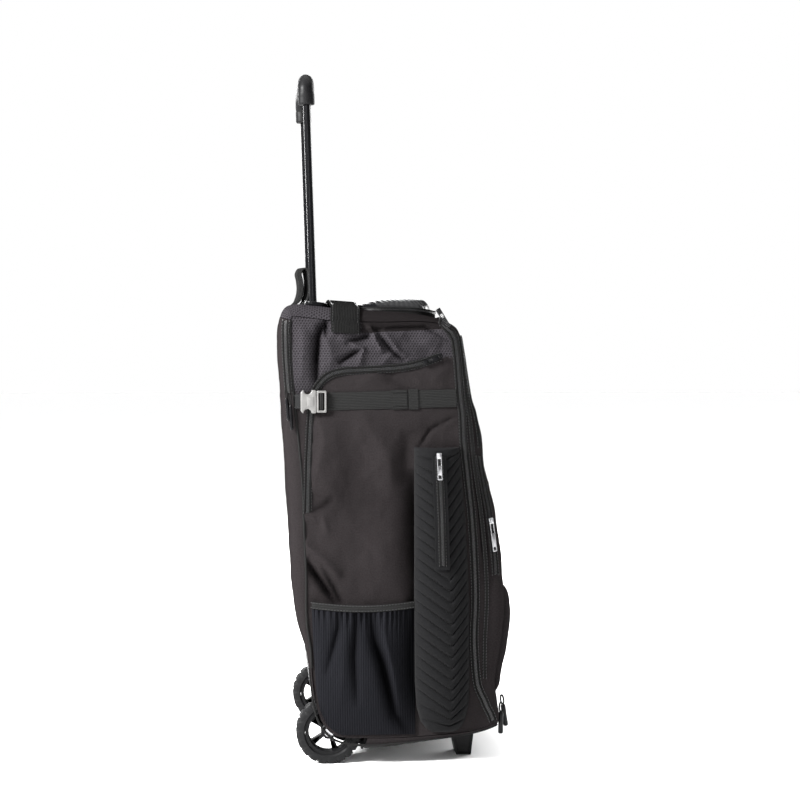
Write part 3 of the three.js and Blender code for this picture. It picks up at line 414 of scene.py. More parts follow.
# Ways that strips and cords face
LEFT = (-1.0, 0.0, 0.0)
RIGHT = (1.0, 0.0, 0.0)
BACK = (0.0, 1.0, 0.0)
FRONT = (0.0, -1.0, 0.0)
UP = (0.0, 0.0, 1.0)
MIRROR = (-1.0, 1.0, 1.0)
SHARP_ANGLE = 40.0
POD_SHARP_ANGLE = 60.0

# Looks: the holes of the mesh in shares of its pitch, and how tones and roughness change over a surface
HOLES = {"From_Min": 0.20, "From_Max": 0.36}
SLOW_NOISE = {"Detail": 5.0, "Roughness": 0.7}
SLOW_TONE = {"From_Min": 0.3, "From_Max": 0.7}
# For cloth, the last value is how dark the painted shade in the valleys of folds is, as a share of the dark
# tone
CLOTH_LOOK = Sizes(tone_scale=420.0, sheen_roughness=0.5, pattern_share=0.5, uneven=0.08, valley=0.1)
MOULD_LOOK = Sizes(tone_scale=40.0, dark=0.85, light=1.15)


# Properties that a user would change


def colour(name, description, default):
    """A colour property with a plain name."""
    return FloatVectorProperty(
        name=name, description=description, default=default, subtype="COLOR", size=3, min=0.0, max=1.0
    )


def length(name, description, millimetres):
    """A length property, stored in metres."""
    return FloatProperty(name=name, description=description, default=millimetres * MM, unit="LENGTH", min=0.0)


class BagColours(bpy.types.PropertyGroup):
    """Colours of the bag's cloth, trim and mouldings"""

    cloth: colour("Plain cloth", "Body panels and front pockets", (0.0118, 0.0103, 0.0106))
    mesh: colour("Hexagon mesh", "Yoke and lid", (0.0196, 0.0180, 0.0200))
    stretch: colour("Stretch cloth", "Elastic side pockets", (0.0059, 0.0060, 0.0071))
    neoprene: colour("Neoprene", "Ribbed bat sleeves", (0.0062, 0.0062, 0.0065))
    webbing: colour("Webbing", "Straps, loops and bindings", (0.0112, 0.0112, 0.0111))
    tape: colour("Zip tape", "Woven tape of the zips", (0.0066, 0.0065, 0.0065))
    teeth: colour("Zip teeth", "Coils of the zips", (0.009, 0.009, 0.0093))
    gloss: colour("Gloss black", "Pod, bezel and cord pulls", (0.003, 0.003, 0.0034))
    matte: colour("Matte black", "Grip, base, rims and feet", (0.0036, 0.0036, 0.0039))
    tyre: colour("Tyre", "Rubber of the wheels", (0.0036, 0.0036, 0.0039))
    buckle: colour("Buckle", "Light grey side-release buckles", (0.096, 0.094, 0.091))
    steel: colour("Steel", "Sliders and pullers", (0.34, 0.34, 0.35))
    floor: colour("Floor", "Pale studio floor", (0.92, 0.92, 0.92))


class BagSizes(bpy.types.PropertyGroup):
    """Sizes of the fine detail"""

    thread: length("Thread pitch", "From one thread of the plain cloth to the next", 1.1)
    hexagon: length("Hexagon pitch", "From one hole of the mesh to the next", 4.4)
    cord: length("Webbing rib pitch", "From one rib of the webbing to the next", 2.4)
    pocket_rib: length("Pocket rib pitch", "From one rib of the stretch cloth to the next", 2.6)
    tooth: length("Tooth pitch", "From one tooth of a zip to the next", 2.2)
    stitch: length("Stitch length", "Length of one stitch", 3.4)
    piping: length("Piping radius", "Radius of the piping in the seams", 1.7)
    pocket_swell: length("Pocket swell", "How far the side pocket stands out", 5.0)
    yoke_swell: length("Yoke swell", "How far the yoke stands out", 3.0)
    wrinkle: length("Wrinkle depth", "Depth of the small wrinkles in the cloth", 2.0)
    rib_depth: length("Sleeve rib depth", "Height of a rib of the bat sleeves", 3.4)
    gather: length("Gather depth", "Depth of the gathers under the pocket binding", 4.0)
    ribs: IntProperty(name="Sleeve ribs", description="Chevron ribs on each bat sleeve", default=26, min=1)
    gathers: IntProperty(name="Gathers", description="Gathers in each elastic pocket", default=19, min=1)
    flutes: IntProperty(name="Flutes", description="Flutes over the pod on the lid", default=17, min=1)


def colours():
    return bpy.context.scene.bag_colours


def size(name):
    """A length property in millimetres."""
    return getattr(bpy.context.scene.bag_sizes, name) / MM


def count(name):
    return getattr(bpy.context.scene.bag_sizes, name)


# Shader trees


class Tree:
    """Adds and links the nodes of a shader tree."""

    def __init__(self, tree):
        self.tree = tree

    def node(self, kind, settings=None, **inputs):
        node = self.tree.nodes.new(kind)
        for name, value in (settings or {}).items():
            setattr(node, name, value)
        for name, value in inputs.items():
            self.feed(node.inputs[name.replace("_", " ")], value)
        return node

    def feed(self, socket, value):
        if isinstance(value, bpy.types.NodeSocket):
            self.tree.links.new(value, socket)
        else:
            socket.default_value = value

    def math(self, operation, first, second=0.0):
        node = self.node("ShaderNodeMath", {"operation": operation})
        self.feed(node.inputs[0], first)
        self.feed(node.inputs[1], second)
        return node.outputs[0]

    def vector(self, operation, first, second=(0.0, 0.0, 0.0)):
        node = self.node("ShaderNodeVectorMath", {"operation": operation})
        self.feed(node.inputs[0], first)
        self.feed(node.inputs[1], second)
        return node.outputs["Value" if operation == "LENGTH" else "Vector"]

    def split(self, vector):
        return self.node("ShaderNodeSeparateXYZ", Vector=vector).outputs

    def blend(self, share, first, second):
        """A colour between two, by a share that changes over the surface."""
        node = self.node("ShaderNodeMix", {"data_type": "RGBA"})
        self.feed(node.inputs["Factor"], share)
        for socket, tint in ((node.inputs[6], first), (node.inputs[7], second)):
            self.feed(socket, (*tint, 1.0) if isinstance(tint, tuple) else tint)
        return node.outputs[2]


def effect(name, values, outputs, build):
    """A shader node group with a Vector input, named values and outputs, built once."""
    group = bpy.data.node_groups.get(name)
    if group is None:
        group = bpy.data.node_groups.new(name, "ShaderNodeTree")
        group.interface.new_socket("Vector", in_out="INPUT", socket_type="NodeSocketVector")
        for value in values:
            group.interface.new_socket(value, in_out="INPUT", socket_type="NodeSocketFloat")
        for output in outputs:
            group.interface.new_socket(output, in_out="OUTPUT", socket_type="NodeSocketFloat")
        tree = Tree(group)
        inlet = tree.node("NodeGroupInput")
        outlet = tree.node("NodeGroupOutput")
        for output, socket in zip(outputs, build(tree, inlet.outputs)):
            tree.feed(outlet.inputs[output], socket)
    return group


def woven_threads():
    """Over and under threads of a plain weave."""

    def build(tree, inlet):
        place = tree.split(tree.vector("MULTIPLY", inlet["Vector"], (math.pi, math.pi, math.pi)))
        warp, weft = (tree.math("SINE", tree.math("MULTIPLY", place[k], inlet["Threads"])) for k in (0, 1))
        over = tree.math("GREATER_THAN", tree.math("MULTIPLY", warp, weft), 0.0)
        under = tree.math("SUBTRACT", 1.0, over)
        high = tree.math("MULTIPLY", tree.math("ABSOLUTE", warp), over)
        low = tree.math("MULTIPLY", tree.math("ABSOLUTE", weft), under)
        return [tree.math("ADD", high, low)]

    return effect("Woven threads", ["Threads"], ["Height"], build)


def hexagon_holes():
    """Round holes on a hexagon grid: 0 in a hole and 1 between them."""

    def build(tree, inlet):
        stretch = (1.0, 1.0 / math.sqrt(3.0), 1.0)
        cell = tree.vector("MULTIPLY", inlet["Vector"], stretch)
        scaled = tree.node("ShaderNodeVectorMath", {"operation": "SCALE"})
        tree.feed(scaled.inputs[0], cell)
        tree.feed(scaled.inputs["Scale"], inlet["Holes"])
        reach = []
        for shift in (0.0, 0.5):
            moved = tree.vector("FRACTION", tree.vector("ADD", scaled.outputs[0], (shift, shift, 0.0)))
            centred = tree.vector("SUBTRACT", moved, (0.5, 0.5, 0.0))
            flat = tree.vector("MULTIPLY", centred, (1.0, math.sqrt(3.0), 0.0))
            reach.append(tree.vector("LENGTH", flat))
        nearest = tree.math("MINIMUM", *reach)
        edge = tree.node("ShaderNodeMapRange", {"interpolation_type": "SMOOTHSTEP"}, Value=nearest, **HOLES)
        return [edge.outputs[0]]

    return effect("Hexagon holes", ["Holes"], ["Height"], build)


def fine_ribs():
    """Round ribs that run along the cloth, crossed by fine threads."""

    def build(tree, inlet):
        place = tree.split(tree.vector("MULTIPLY", inlet["Vector"], (math.pi, math.pi, math.pi)))
        rib = tree.math("ABSOLUTE", tree.math("SINE", tree.math("MULTIPLY", place[0], inlet["Ribs"])))
        thread = tree.math("SINE", tree.math("MULTIPLY", place[1], tree.math("MULTIPLY", inlet["Ribs"], 2.0)))
        return [tree.math("ADD", rib, tree.math("MULTIPLY", tree.math("ABSOLUTE", thread), inlet["Threads"]))]

    return effect("Fine ribs", ["Ribs", "Threads"], ["Height"], build)


def uneven_tone():
    """A slow change of tone over the surface, from 0 to 1."""

    def build(tree, inlet):
        slow = tree.node("ShaderNodeTexNoise", Vector=inlet["Vector"], Scale=inlet["Scale"], **SLOW_NOISE)
        spread = tree.node("ShaderNodeMapRange", Value=slow.outputs["Fac"], **SLOW_TONE)
        return [spread.outputs[0]]

    return effect("Uneven tone", ["Scale"], ["Tone"], build)


def moulded_grain():
    """The fine pebble of a moulded surface."""

    def build(tree, inlet):
        pebble = tree.node("ShaderNodeTexVoronoi", {"feature": "SMOOTH_F1"}, Vector=inlet["Vector"])
        tree.feed(pebble.inputs["Scale"], inlet["Scale"])
        return [pebble.outputs["Distance"]]

    return effect("Moulded grain", ["Scale"], ["Height"], build)


class Finish:
    """A material being built: its shader, its tree and the vector that its effects read."""

    def __init__(self, name, on_cloth, roughness, **sockets):
        self.material = bpy.data.materials.new(name)
        self.material.use_nodes = True
        self.tree = Tree(self.material.node_tree)
        self.shader = next(n for n in self.material.node_tree.nodes if n.type == "BSDF_PRINCIPLED")
        self.shader.inputs["Roughness"].default_value = roughness
        for socket, value in sockets.items():
            self.shader.inputs[socket.replace("_", " ")].default_value = value
        if on_cloth:
            self.vector = self.tree.node("ShaderNodeUVMap", {"uv_map": "UVMap"}).outputs["UV"]
        else:
            self.vector = self.tree.node("ShaderNodeTexCoord").outputs["Object"]

    def use(self, group, output, **values):
        node = self.tree.node("ShaderNodeGroup", {"node_tree": group}, Vector=self.vector, **values)
        return node.outputs[output]

    def tone(self, share, dark, light):
        self.tree.feed(self.shader.inputs["Base Color"], self.tree.blend(share, dark, light))

    def tone_with_painted_shade(self, share, dark, light):
        """Tone darkened by painted shade in the valleys of the folds, which the mesh marks."""
        valley = self.tree.node("ShaderNodeAttribute", {"attribute_name": PAINTED_SHADE}).outputs["Fac"]
        self.tone(valley, self.tree.blend(share, dark, light), scaled(dark, CLOTH_LOOK.valley))

    def rough(self, share, low, high):
        spread = self.tree.node("ShaderNodeMapRange", Value=share, To_Min=low, To_Max=high)
        self.tree.feed(self.shader.inputs["Roughness"], spread.outputs[0])

    def bump(self, height, depth):
        bump = self.tree.node("ShaderNodeBump", Height=height, Strength=1.0, Distance=depth * MM)
        self.tree.feed(self.shader.inputs["Normal"], bump.outputs["Normal"])


def scaled(tint, share):
    return tuple(min(1.0, share * value) for value in tint)


# Patterns of cloth: the effect, its input that counts them to a metre, the size that is their pitch, how many
# go to that pitch, and the share of cross threads
Pattern = namedtuple("Pattern", "effect input pitch times threads")
PATTERNS = {
    "woven": Pattern(woven_threads, "Threads", "thread", 1.0, None),
    "tight": Pattern(woven_threads, "Threads", "thread", 1.3, None),
    "mesh": Pattern(hexagon_holes, "Holes", "hexagon", 1.0, None),
    "ribbed": Pattern(fine_ribs, "Ribs", "pocket_rib", 1.0, 0.1),
    "corded": Pattern(fine_ribs, "Ribs", "cord", 1.0, 0.35),
}

# Cloth finishes: depth in millimetres, dark and light shares of the colour, and the share of it that is used
Cloth = namedtuple(
    "Cloth", "name tint pattern depth roughness dark light shade sheen", defaults=(0.7, 1.3, 1.0, 0.0)
)
CLOTHS = {
    "plain_cloth": Cloth("plain cloth", "cloth", "woven", 0.25, 0.82, 0.35, 1.65),
    "mesh_cloth": Cloth("hexagon mesh", "mesh", "mesh", 0.9, 0.8, 0.3, 1.35),
    "stretch_cloth": Cloth("stretch cloth", "stretch", "ribbed", 0.5, 0.8, 0.5, 1.4),
    "neoprene": Cloth("neoprene", "neoprene", "tight", 0.12, 0.62, 0.85, 1.15, sheen=0.02),
    # Cloth for the band round the lid: the plain cloth darkened to 0.6 of its colour, as painted shade
    "lid_cloth": Cloth("lid cloth", "cloth", "woven", 0.25, 0.82, shade=0.6),
    "webbing": Cloth("webbing", "webbing", "corded", 0.6, 0.75, 0.6, 1.35),
    "grab_webbing": Cloth("grab webbing", "webbing", "corded", 0.6, 0.75, 0.6, 1.35, shade=0.55),
    "zip": Cloth("zip tape", "tape", "corded", 0.4, 0.7),
}

# Moulded and cast finishes: grain is the number of pebbles to a metre, and depth theirs in millimetres
Mould = namedtuple(
    "Mould", "name tint roughness grain depth uneven specular metallic", defaults=(0.2, 0.5, 0.0)
)
MOULDS = {
    "teeth": Mould("zip teeth", "teeth", 0.38, 900, 0.02),
    "gloss_black": Mould("gloss black", "gloss", 0.2, 500, 0.004, specular=0.1),
    "tube": Mould("coated tube", "gloss", 0.16, 300, 0.0, uneven=0.0, specular=0.07),
    "matte_black": Mould("matte black", "matte", 0.5, 900, 0.05, specular=0.09),
    "tyre": Mould("tyre rubber", "tyre", 0.7, 1200, 0.08, specular=0.15),
    "rubber": Mould("rubber", "tyre", 0.6, 1400, 0.05, specular=0.2),
    "buckle": Mould("buckle", "buckle", 0.36, 1100, 0.02),
    "steel": Mould("satin steel", "steel", 0.28, 800, 0.015, metallic=1.0),
}


def cloth_finish(cloth):
    """Cloth with a raised pattern and slow changes of tone."""
    sheen = {"Sheen_Weight": cloth.sheen, "Sheen_Roughness": CLOTH_LOOK.sheen_roughness}
    made = Finish(cloth.name, True, cloth.roughness, Specular_IOR_Level=0.0, **sheen)
    pattern = PATTERNS[cloth.pattern]
    values = {pattern.input: pattern.times / (size(pattern.pitch) * MM)}
    if pattern.threads is not None:
        values["Threads"] = pattern.threads
    height = made.use(pattern.effect(), "Height", **values)
    tone = made.use(uneven_tone(), "Tone", Scale=CLOTH_LOOK.tone_scale)
    share = CLOTH_LOOK.pattern_share
    raised_tone = made.tree.math("MULTIPLY", height, share)
    slow_tone = made.tree.math("MULTIPLY", tone, 1 - share)
    tint = scaled(getattr(colours(), cloth.tint), cloth.shade)
    mixed = made.tree.math("ADD", raised_tone, slow_tone)
    # Painted shade darkens the colour in the valleys of the folds
    made.tone_with_painted_shade(mixed, scaled(tint, cloth.dark), scaled(tint, cloth.light))
    made.rough(tone, cloth.roughness - CLOTH_LOOK.uneven, cloth.roughness + CLOTH_LOOK.uneven)
    made.bump(height, cloth.depth)
    return made.material


def moulded_finish(mould):
    """Moulded or cast surface with a fine pebble and uneven gloss."""
    sockets = {"Specular_IOR_Level": mould.specular, "Metallic": mould.metallic}
    made = Finish(mould.name, False, mould.roughness, **sockets)
    tint = getattr(colours(), mould.tint)
    tone = made.use(uneven_tone(), "Tone", Scale=MOULD_LOOK.tone_scale)
    made.tone(tone, scaled(tint, MOULD_LOOK.dark), scaled(tint, MOULD_LOOK.light))
    if mould.uneven:
        made.rough(tone, mould.roughness * (1 - mould.uneven), mould.roughness * (1 + mould.uneven))
    if mould.depth:
        made.bump(made.use(moulded_grain(), "Height", Scale=mould.grain), mould.depth)
    return made.material


FINISHES = {}


def finish(slot):
    """The material of a slot of the record, or of a small part, made when it is first asked for."""
    if slot not in FINISHES:
        FINISHES[slot] = cloth_finish(CLOTHS[slot]) if slot in CLOTHS else moulded_finish(MOULDS[slot])
    return FINISHES[slot]


# Meshes: a piece is joined from parts, each with its own finish

Part = namedtuple("Part", "points faces uv slot")


def grid_faces(rows, columns, offset=0, wrap=False, ring=False):
    """Quads of a grid of points laid out row by row, which may close round its columns or its rows."""
    i = np.arange(columns if wrap else columns - 1)
    j = np.arange(rows if ring else rows - 1)[:, None]
    after_i = (i + 1) % columns
    after_j = (j + 1) % rows
    corners = [j * columns + i, j * columns + after_i, after_j * columns + after_i, after_j * columns + i]
    return (np.stack(corners, axis=-1).reshape(-1, 4) + offset).tolist()


def lengths_along(points, axis):
    """Mean length from the first point of a grid to each row or column."""
    steps = np.linalg.norm(np.diff(points, axis=axis), axis=-1).mean(axis=1 - axis)
    return np.concatenate([[0.0], np.cumsum(steps)])


def cloth_map(points):
    """Flat cloth coordinates of a grid of points, across and along it."""
    across, along = lengths_along(points, 1), lengths_along(points, 0)
    flat = np.empty(points.shape[:2] + (2,))
    flat[..., 0] = across[None, :]
    flat[..., 1] = along[:, None]
    return flat


def skin(loops, slot, wrap=True, ring=False):
    """A closed surface through loops of points, with its ends capped unless they meet in a ring."""
    loops = np.asarray(loops, float)
    stations, sides = loops.shape[:2]
    faces = grid_faces(stations, sides, wrap=wrap, ring=ring)
    if not ring:
        last = (stations - 1) * sides
        faces += [list(range(sides))[::-1], list(range(last, last + sides))]
    return Part(loops.reshape(-1, 3), faces, cloth_map(loops).reshape(-1, 2), slot)


def xyz(x, y, z):
    """Points from their three coordinates, of which some may be the same for all."""
    return np.stack(np.broadcast_arrays(x, y, z), axis=-1)


def unit(vectors):
    return vectors / np.maximum(np.linalg.norm(vectors, axis=-1, keepdims=True), 1e-9)


def grid_normals(grid, out):
    """Unit normals of a grid of points, on the side that out lies on."""
    normals = unit(np.cross(np.gradient(grid, axis=0), np.gradient(grid, axis=1)))
    sign = np.sign(np.sum(normals * out, axis=-1).mean())
    return normals * sign


def wall(outer, inner, slot, uv=None):
    """A closed cloth wall between two grids of points."""
    rows, columns = outer.shape[:2]
    total = rows * columns
    faces = grid_faces(rows, columns) + [f[::-1] for f in grid_faces(rows, columns, total)]
    index = np.arange(total).reshape(rows, columns)
    border = np.concatenate([index[0, :-1], index[:-1, -1], index[-1, :0:-1], index[:0:-1, 0]])
    after = np.roll(border, -1)
    faces += np.stack([border, border + total, after + total, after], axis=-1).tolist()
    flat = cloth_map(outer) if uv is None else uv
    points = np.concatenate([outer.reshape(-1, 3), inner.reshape(-1, 3)])
    return Part(points, faces, np.concatenate([flat.reshape(-1, 2)] * 2), slot)


def mirrored(parts):
    return [part._replace(points=part.points * MIRROR) for part in parts]


def placed(part, place):
    """A part moved by a matrix."""
    turn = np.array(place)
    return part._replace(points=part.points @ turn[:3, :3].T + turn[:3, 3])


def from_bmesh(mesh, slot):
    bmesh.ops.remove_doubles(mesh, verts=mesh.verts, dist=1e-4)
    mesh.verts.index_update()
    points = np.array([vert.co for vert in mesh.verts])
    faces = [[vert.index for vert in face.verts] for face in mesh.faces]
    mesh.free()
    return Part(points, faces, points[:, :2].copy(), slot)


def plate(loops, thickness, bevel, slot, steps=2):
    """A flat plate with rounded edges in the XY plane: the first loop is its edge and the rest are holes."""
    curve = bpy.data.curves.new("plate", "CURVE")
    curve.dimensions = "2D"
    curve.fill_mode = "BOTH"
    curve.extrude = thickness / 2 - bevel
    curve.bevel_depth = bevel
    curve.bevel_resolution = steps
    curve.offset = -bevel
    for loop in loops:
        spline = curve.splines.new("POLY")
        spline.points.add(len(loop) - 1)
        for point, (x, y) in zip(spline.points, loop):
            point.co = (x, y, 0.0, 1.0)
        spline.use_cyclic_u = True
    holder = bpy.data.objects.new("plate", curve)
    made = bpy.data.meshes.new_from_object(holder)
    mesh = bmesh.new()
    mesh.from_mesh(made)
    bpy.data.objects.remove(holder)
    bpy.data.curves.remove(curve)
    bpy.data.meshes.remove(made)
    return from_bmesh(mesh, slot)


def rounded_box(sides, bevel, slot, steps=3):
    """A box about the origin with rounded edges."""
    mesh = bmesh.new()
    bmesh.ops.create_cube(mesh, size=1.0)
    bmesh.ops.scale(mesh, vec=sides, verts=mesh.verts)
    bmesh.ops.bevel(mesh, geom=mesh.edges[:], offset=bevel, segments=steps, profile=0.5, affect="EDGES")
    return from_bmesh(mesh, slot)


def make_piece(name, parts, nodes=(), body="bag", sharp=SHARP_ANGLE):
    """One object from parts, riding on a body and standing for the frame's nodes."""
    points = np.concatenate([part.points for part in parts]) * MM
    flat = np.concatenate([part.uv for part in parts]) * MM
    slots = list(dict.fromkeys(part.slot for part in parts))
    faces, kinds, start = [], [], 0
    for part in parts:
        faces += [[start + k for k in face] for face in part.faces]
        kinds += [slots.index(part.slot)] * len(part.faces)
        start += len(part.points)
    data = bpy.data.meshes.new(name)
    data.from_pydata(points.tolist(), [], faces)
    data.polygons.foreach_set("material_index", kinds)
    layer = data.uv_layers.new(name="UVMap")
    corner = np.empty(len(data.loops), int)
    data.loops.foreach_get("vertex_index", corner)
    layer.data.foreach_set("uv", flat[corner].ravel())
    for used in slots:
        data.materials.append(finish(used))
    mesh = bmesh.new()
    mesh.from_mesh(data)
    bmesh.ops.recalc_face_normals(mesh, faces=mesh.faces)
    mesh.to_mesh(data)
    mesh.free()
    data.shade_smooth()
    data.set_sharp_from_angle(angle=math.radians(sharp))
    piece = bpy.data.objects.new(f"{name}_look", data)
    bpy.context.scene.collection.objects.link(piece)
    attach(piece, body)
    if nodes:
        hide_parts(*nodes)
    return piece


def make_pair(name, parts, node=None, bodies=("bag", "bag")):
    """The left piece and its mirror image."""
    pieces = []
    for side, body, shape in zip(SIDES, bodies, (parts, mirrored(parts))):
        nodes = [f"{node}_{side}"] if node else []
        pieces.append(make_piece(f"{name}_{side}", shape, nodes, body))
    return pieces


# The body's surfaces


def span(panel):
    """The rows of the outline that a panel runs over."""
    names = list(OUTLINE)
    start = sum(len(OUTLINE[name]) for name in names[: names.index(panel)])
    return start, start + len(OUTLINE[panel])


def outline_at(row):
    """Place, rim and the way into the bag at rows of the outline, or at shares between two of them."""
    row = np.asarray(row, float) % len(OUTLINE_ROWS)
    floor = np.floor(row).astype(int)
    share = (row - floor)[..., None]
    p0, p1, p2, p3 = (OUTLINE_ROWS[(floor + k) % len(OUTLINE_ROWS)] for k in (-1, 0, 1, 2))
    pairs = ((p0, p1), (p1, p2), (p2, p3))
    d0, d1, d2 = (np.linalg.norm(after - before, axis=-1, keepdims=True) ** 0.5 for before, after in pairs)
    way1 = d1 * ((p1 - p0) / d0 - (p2 - p0) / (d0 + d1) + (p2 - p1) / d1)
    way2 = d1 * ((p2 - p1) / d1 - (p3 - p1) / (d1 + d2) + (p3 - p2) / d2)
    square = 3 * (p2 - p1) - 2 * way1 - way2
    cube = 2 * (p1 - p2) + way1 + way2
    place = p1 + share * (way1 + share * (square + share * cube))
    tangent = way1 + share * (2 * square + 3 * share * cube)
    inward = unit(np.stack([-tangent[..., 1], tangent[..., 0]], axis=-1))
    return place[..., :2], place[..., 2], inward


def half_width(y, z):
    deep, high = (y - MID_DEPTH) / HALF_DEPTH, (z - MID_HEIGHT) / MID_HEIGHT
    return HALF_WIDTH - BOWED_IN * deep**2 - DRAWN_IN * high**2


def across_columns(corner_steps, flat_steps):
    """Columns of a panel from rim to rim: round one corner, over the flat and round the other corner."""
    bend = np.linspace(math.pi / 2, 0, corner_steps, endpoint=False)
    ends = np.ones(corner_steps)
    flat = np.concatenate([-ends, np.linspace(-1, 1, flat_steps + 1), ends])
    turn = np.concatenate([bend, np.zeros(flat_steps + 1), bend[::-1]])
    return flat, turn


def panel_grid(panel, flat_steps):
    """Rows and columns of a panel."""
    start, end = span(panel)
    rows = np.linspace(start + ROW_TRIM, end - ROW_TRIM, PANEL_STEPS[panel] * (end - start))[:, None]
    return rows, *across_columns(PANEL_STEPS["corner"], flat_steps)


def panel_points(row, flat, turn, inset=0.0):
    """The outside of a panel, or a surface set in from it."""
    place, rim, inward = outline_at(row)
    seam = place + inward * rim[..., None]
    half = half_width(seam[..., 0], seam[..., 1])
    x = flat * (half - CORNER - inset) + np.sign(flat) * CORNER * np.sin(turn)
    depth = inset + (rim - inset) * (1 - np.cos(turn))
    y = place[..., 0] + inward[..., 0] * depth
    z = place[..., 1] + inward[..., 1] * depth
    return xyz(x, y, z)


def panel_up(row, flat, turn):
    """The way out of a panel."""
    _, rim, inward = outline_at(row)
    out = CORNER * np.cos(turn)
    return unit(xyz(np.sign(flat) * rim * np.sin(turn), -inward[..., 0] * out, -inward[..., 1] * out))


def row_where(panel, axis, wanted):
    """The row of a panel where its outline reaches a depth (axis 0) or a height (axis 1)."""
    low, high = span(panel)
    rows = np.linspace(low, high, OUTLINE_STEPS)
    reached = outline_at(rows)[0][:, axis]
    order = np.argsort(reached)
    return np.interp(wanted, reached[order], rows[order])


def lid_height(y):
    return outline_at(row_where("top", 0, y))[0][..., 1]


def flap_face(z):
    return outline_at(row_where("front", 1, z))[0][..., 0]


def seam_at(row, inset=0.0):
    place, rim, inward = outline_at(row)
    return place + inward * (rim + inset)[..., None]


def side_point(y, z, lift=0.0):
    """The outside of the left side panel, or of what lies on it, before the cloth swells."""
    return xyz(-half_width(y, z) - lift, y, z)


# How the cloth swells, folds and wrinkles


def segment_distance(y, z, start, end):
    """Distance to a line between two places, the share of it at the nearest point, and how far behind it."""
    way = np.subtract(end, start)
    reach = np.dot(way, way)
    along = np.clip(((y - start[0]) * way[0] + (z - start[1]) * way[1]) / reach, 0.0, 1.0)
    distance = np.hypot(y - start[0] - along * way[0], z - start[1] - along * way[1])
    behind = ((z - start[1]) * way[0] - (y - start[0]) * way[1]) / math.sqrt(reach)
    return distance, along, behind * (1.0 if way[1] < 0 else -1.0)


def swell(y, z, edge, height, reach):
    """Cloth that stands out inside a closed edge and lies flat along it."""
    within = np.zeros(np.shape(y), bool)
    distance = np.full(np.shape(y), np.inf)
    for start, end in zip(edge, edge[1:] + edge[:1]):
        distance = np.minimum(distance, segment_distance(y, z, start, end)[0])
        crosses = (start.z > z) != (end.z > z)
        rise = end.z - start.z if end.z != start.z else 1e-9
        within ^= crosses & (y < start.y + (end.y - start.y) * (z - start.z) / rise)
    return np.where(within, height * (1 - np.exp(-((distance / reach) ** 2))), 0.0)


def folded(y, z, folds):
    """Height of folds laid over each other."""
    lift = np.zeros(np.shape(y))
    for fold in folds:
        nearest = np.full(np.shape(y), np.inf)
        along = side = nearest
        total = len(fold.path) - 1
        for k, (start, end) in enumerate(zip(fold.path, fold.path[1:])):
            distance, share, behind = segment_distance(y, z, start, end)
            closer = distance < nearest
            nearest = np.where(closer, distance, nearest)
            along = np.where(closer, (k + share) / total, along)
            side = np.where(closer, behind / np.maximum(distance, 1e-6), side)
        half = fold.front + (fold.back - fold.front) * (np.clip(side, -1, 1) + 1) / 2
        taper = np.sin(math.pi * along) ** FOLD_ENDS
        lift += fold.height * taper * np.exp(-((nearest / half) ** CREASE))
    return lift


def paint_fold_shade(piece, folds):
    """Mark how deep each point of a cloth lies in its folds, as painted shade that darkens its colour there.
    """
    points = np.empty(3 * len(piece.data.vertices))
    piece.data.vertices.foreach_get("co", points)
    _, y, z = points.reshape(-1, 3).T / MM
    share = np.clip(-folded(y, z, folds) / PAINTED_SHADE_DEPTH, 0.0, 1.0)
    marks = piece.data.attributes.new(PAINTED_SHADE, "FLOAT", "POINT")
    marks.data.foreach_set("value", PAINTED_SHADE_STRENGTH * share)


def wrinkled(points, cloth):
    """Heights of the small wrinkles in a cloth."""
    wrinkle = WRINKLES[cloth]
    places = points.reshape(-1, 3) / wrinkle.spread + wrinkle.seed
    heights = [noise.fractal(Vector(place), *WRINKLE_NOISE.values()) for place in places]
    return size("wrinkle") * wrinkle.share * np.array(heights).reshape(points.shape[:-1])


def side_relief(y, z):
    """How far the cloth of the side stands out from its plain form."""
    pocket = swell(y, z, POCKET_EDGE, size("pocket_swell"), SIDE_CLOTH.pocket_reach)
    yoke = swell(y, z, YOKE_EDGE, size("yoke_swell"), SIDE_CLOTH.yoke_reach)
    held = SIDE_CLOTH.strap_hold * np.exp(-(((z - STRAP_Z) / SIDE_CLOTH.strap_reach) ** 2))
    creased = folded(y, z, SIDE_FOLDS) + wrinkled(side_point(y, z), "side")
    covered = np.clip((POCKET_TOP - SIDE_CLOTH.cover_drop - z) / SIDE_CLOTH.cover_reach, 0.0, 1.0)
    return (pocket + yoke + creased) * (1 - held) * (1 - covered) - covered


def close_at_ends(steps):
    """Shares from -1 to 1 that lie closer together at the ends."""
    return np.sin(np.linspace(-math.pi / 2, math.pi / 2, steps))


def domed(share, power):
    """Height of a dome with rounded shoulders: 1 in its middle and 0 at its ends."""
    return (1 - np.abs(share) ** power) ** (1 / power)


# Strips laid on the cloth

Stations = namedtuple("Stations", "middle up across")


def smooth_path(places, steps):
    """A curve through places, at even steps of its own measure."""
    points = np.asarray(places, float)
    at = np.linspace(0, len(points) - 1, steps + 1)
    index = np.minimum(at.astype(int), len(points) - 2)
    share = (at - index)[:, None]
    p1, p2 = points[index], points[index + 1]
    p0, p3 = points[np.maximum(index - 1, 0)], points[np.minimum(index + 2, len(points) - 1)]
    v1, v2 = (p2 - p0) / 2, (p3 - p1) / 2
    return p1 + share * (v1 + share * (3 * (p2 - p1) - 2 * v1 - v2 + share * (2 * (p1 - p2) + v1 + v2)))


def even_path(points, step):
    """The same path, with its points about a step apart."""
    points = np.asarray(points, float)
    along = np.concatenate([[0.0], np.cumsum(np.linalg.norm(np.diff(points, axis=0), axis=-1))])
    at = np.linspace(0, along[-1], max(2, round(along[-1] / step) + 1))
    return np.stack([np.interp(at, along, column) for column in points.T], axis=-1)


def same_way(way, total):
    return np.tile(way, (total, 1))


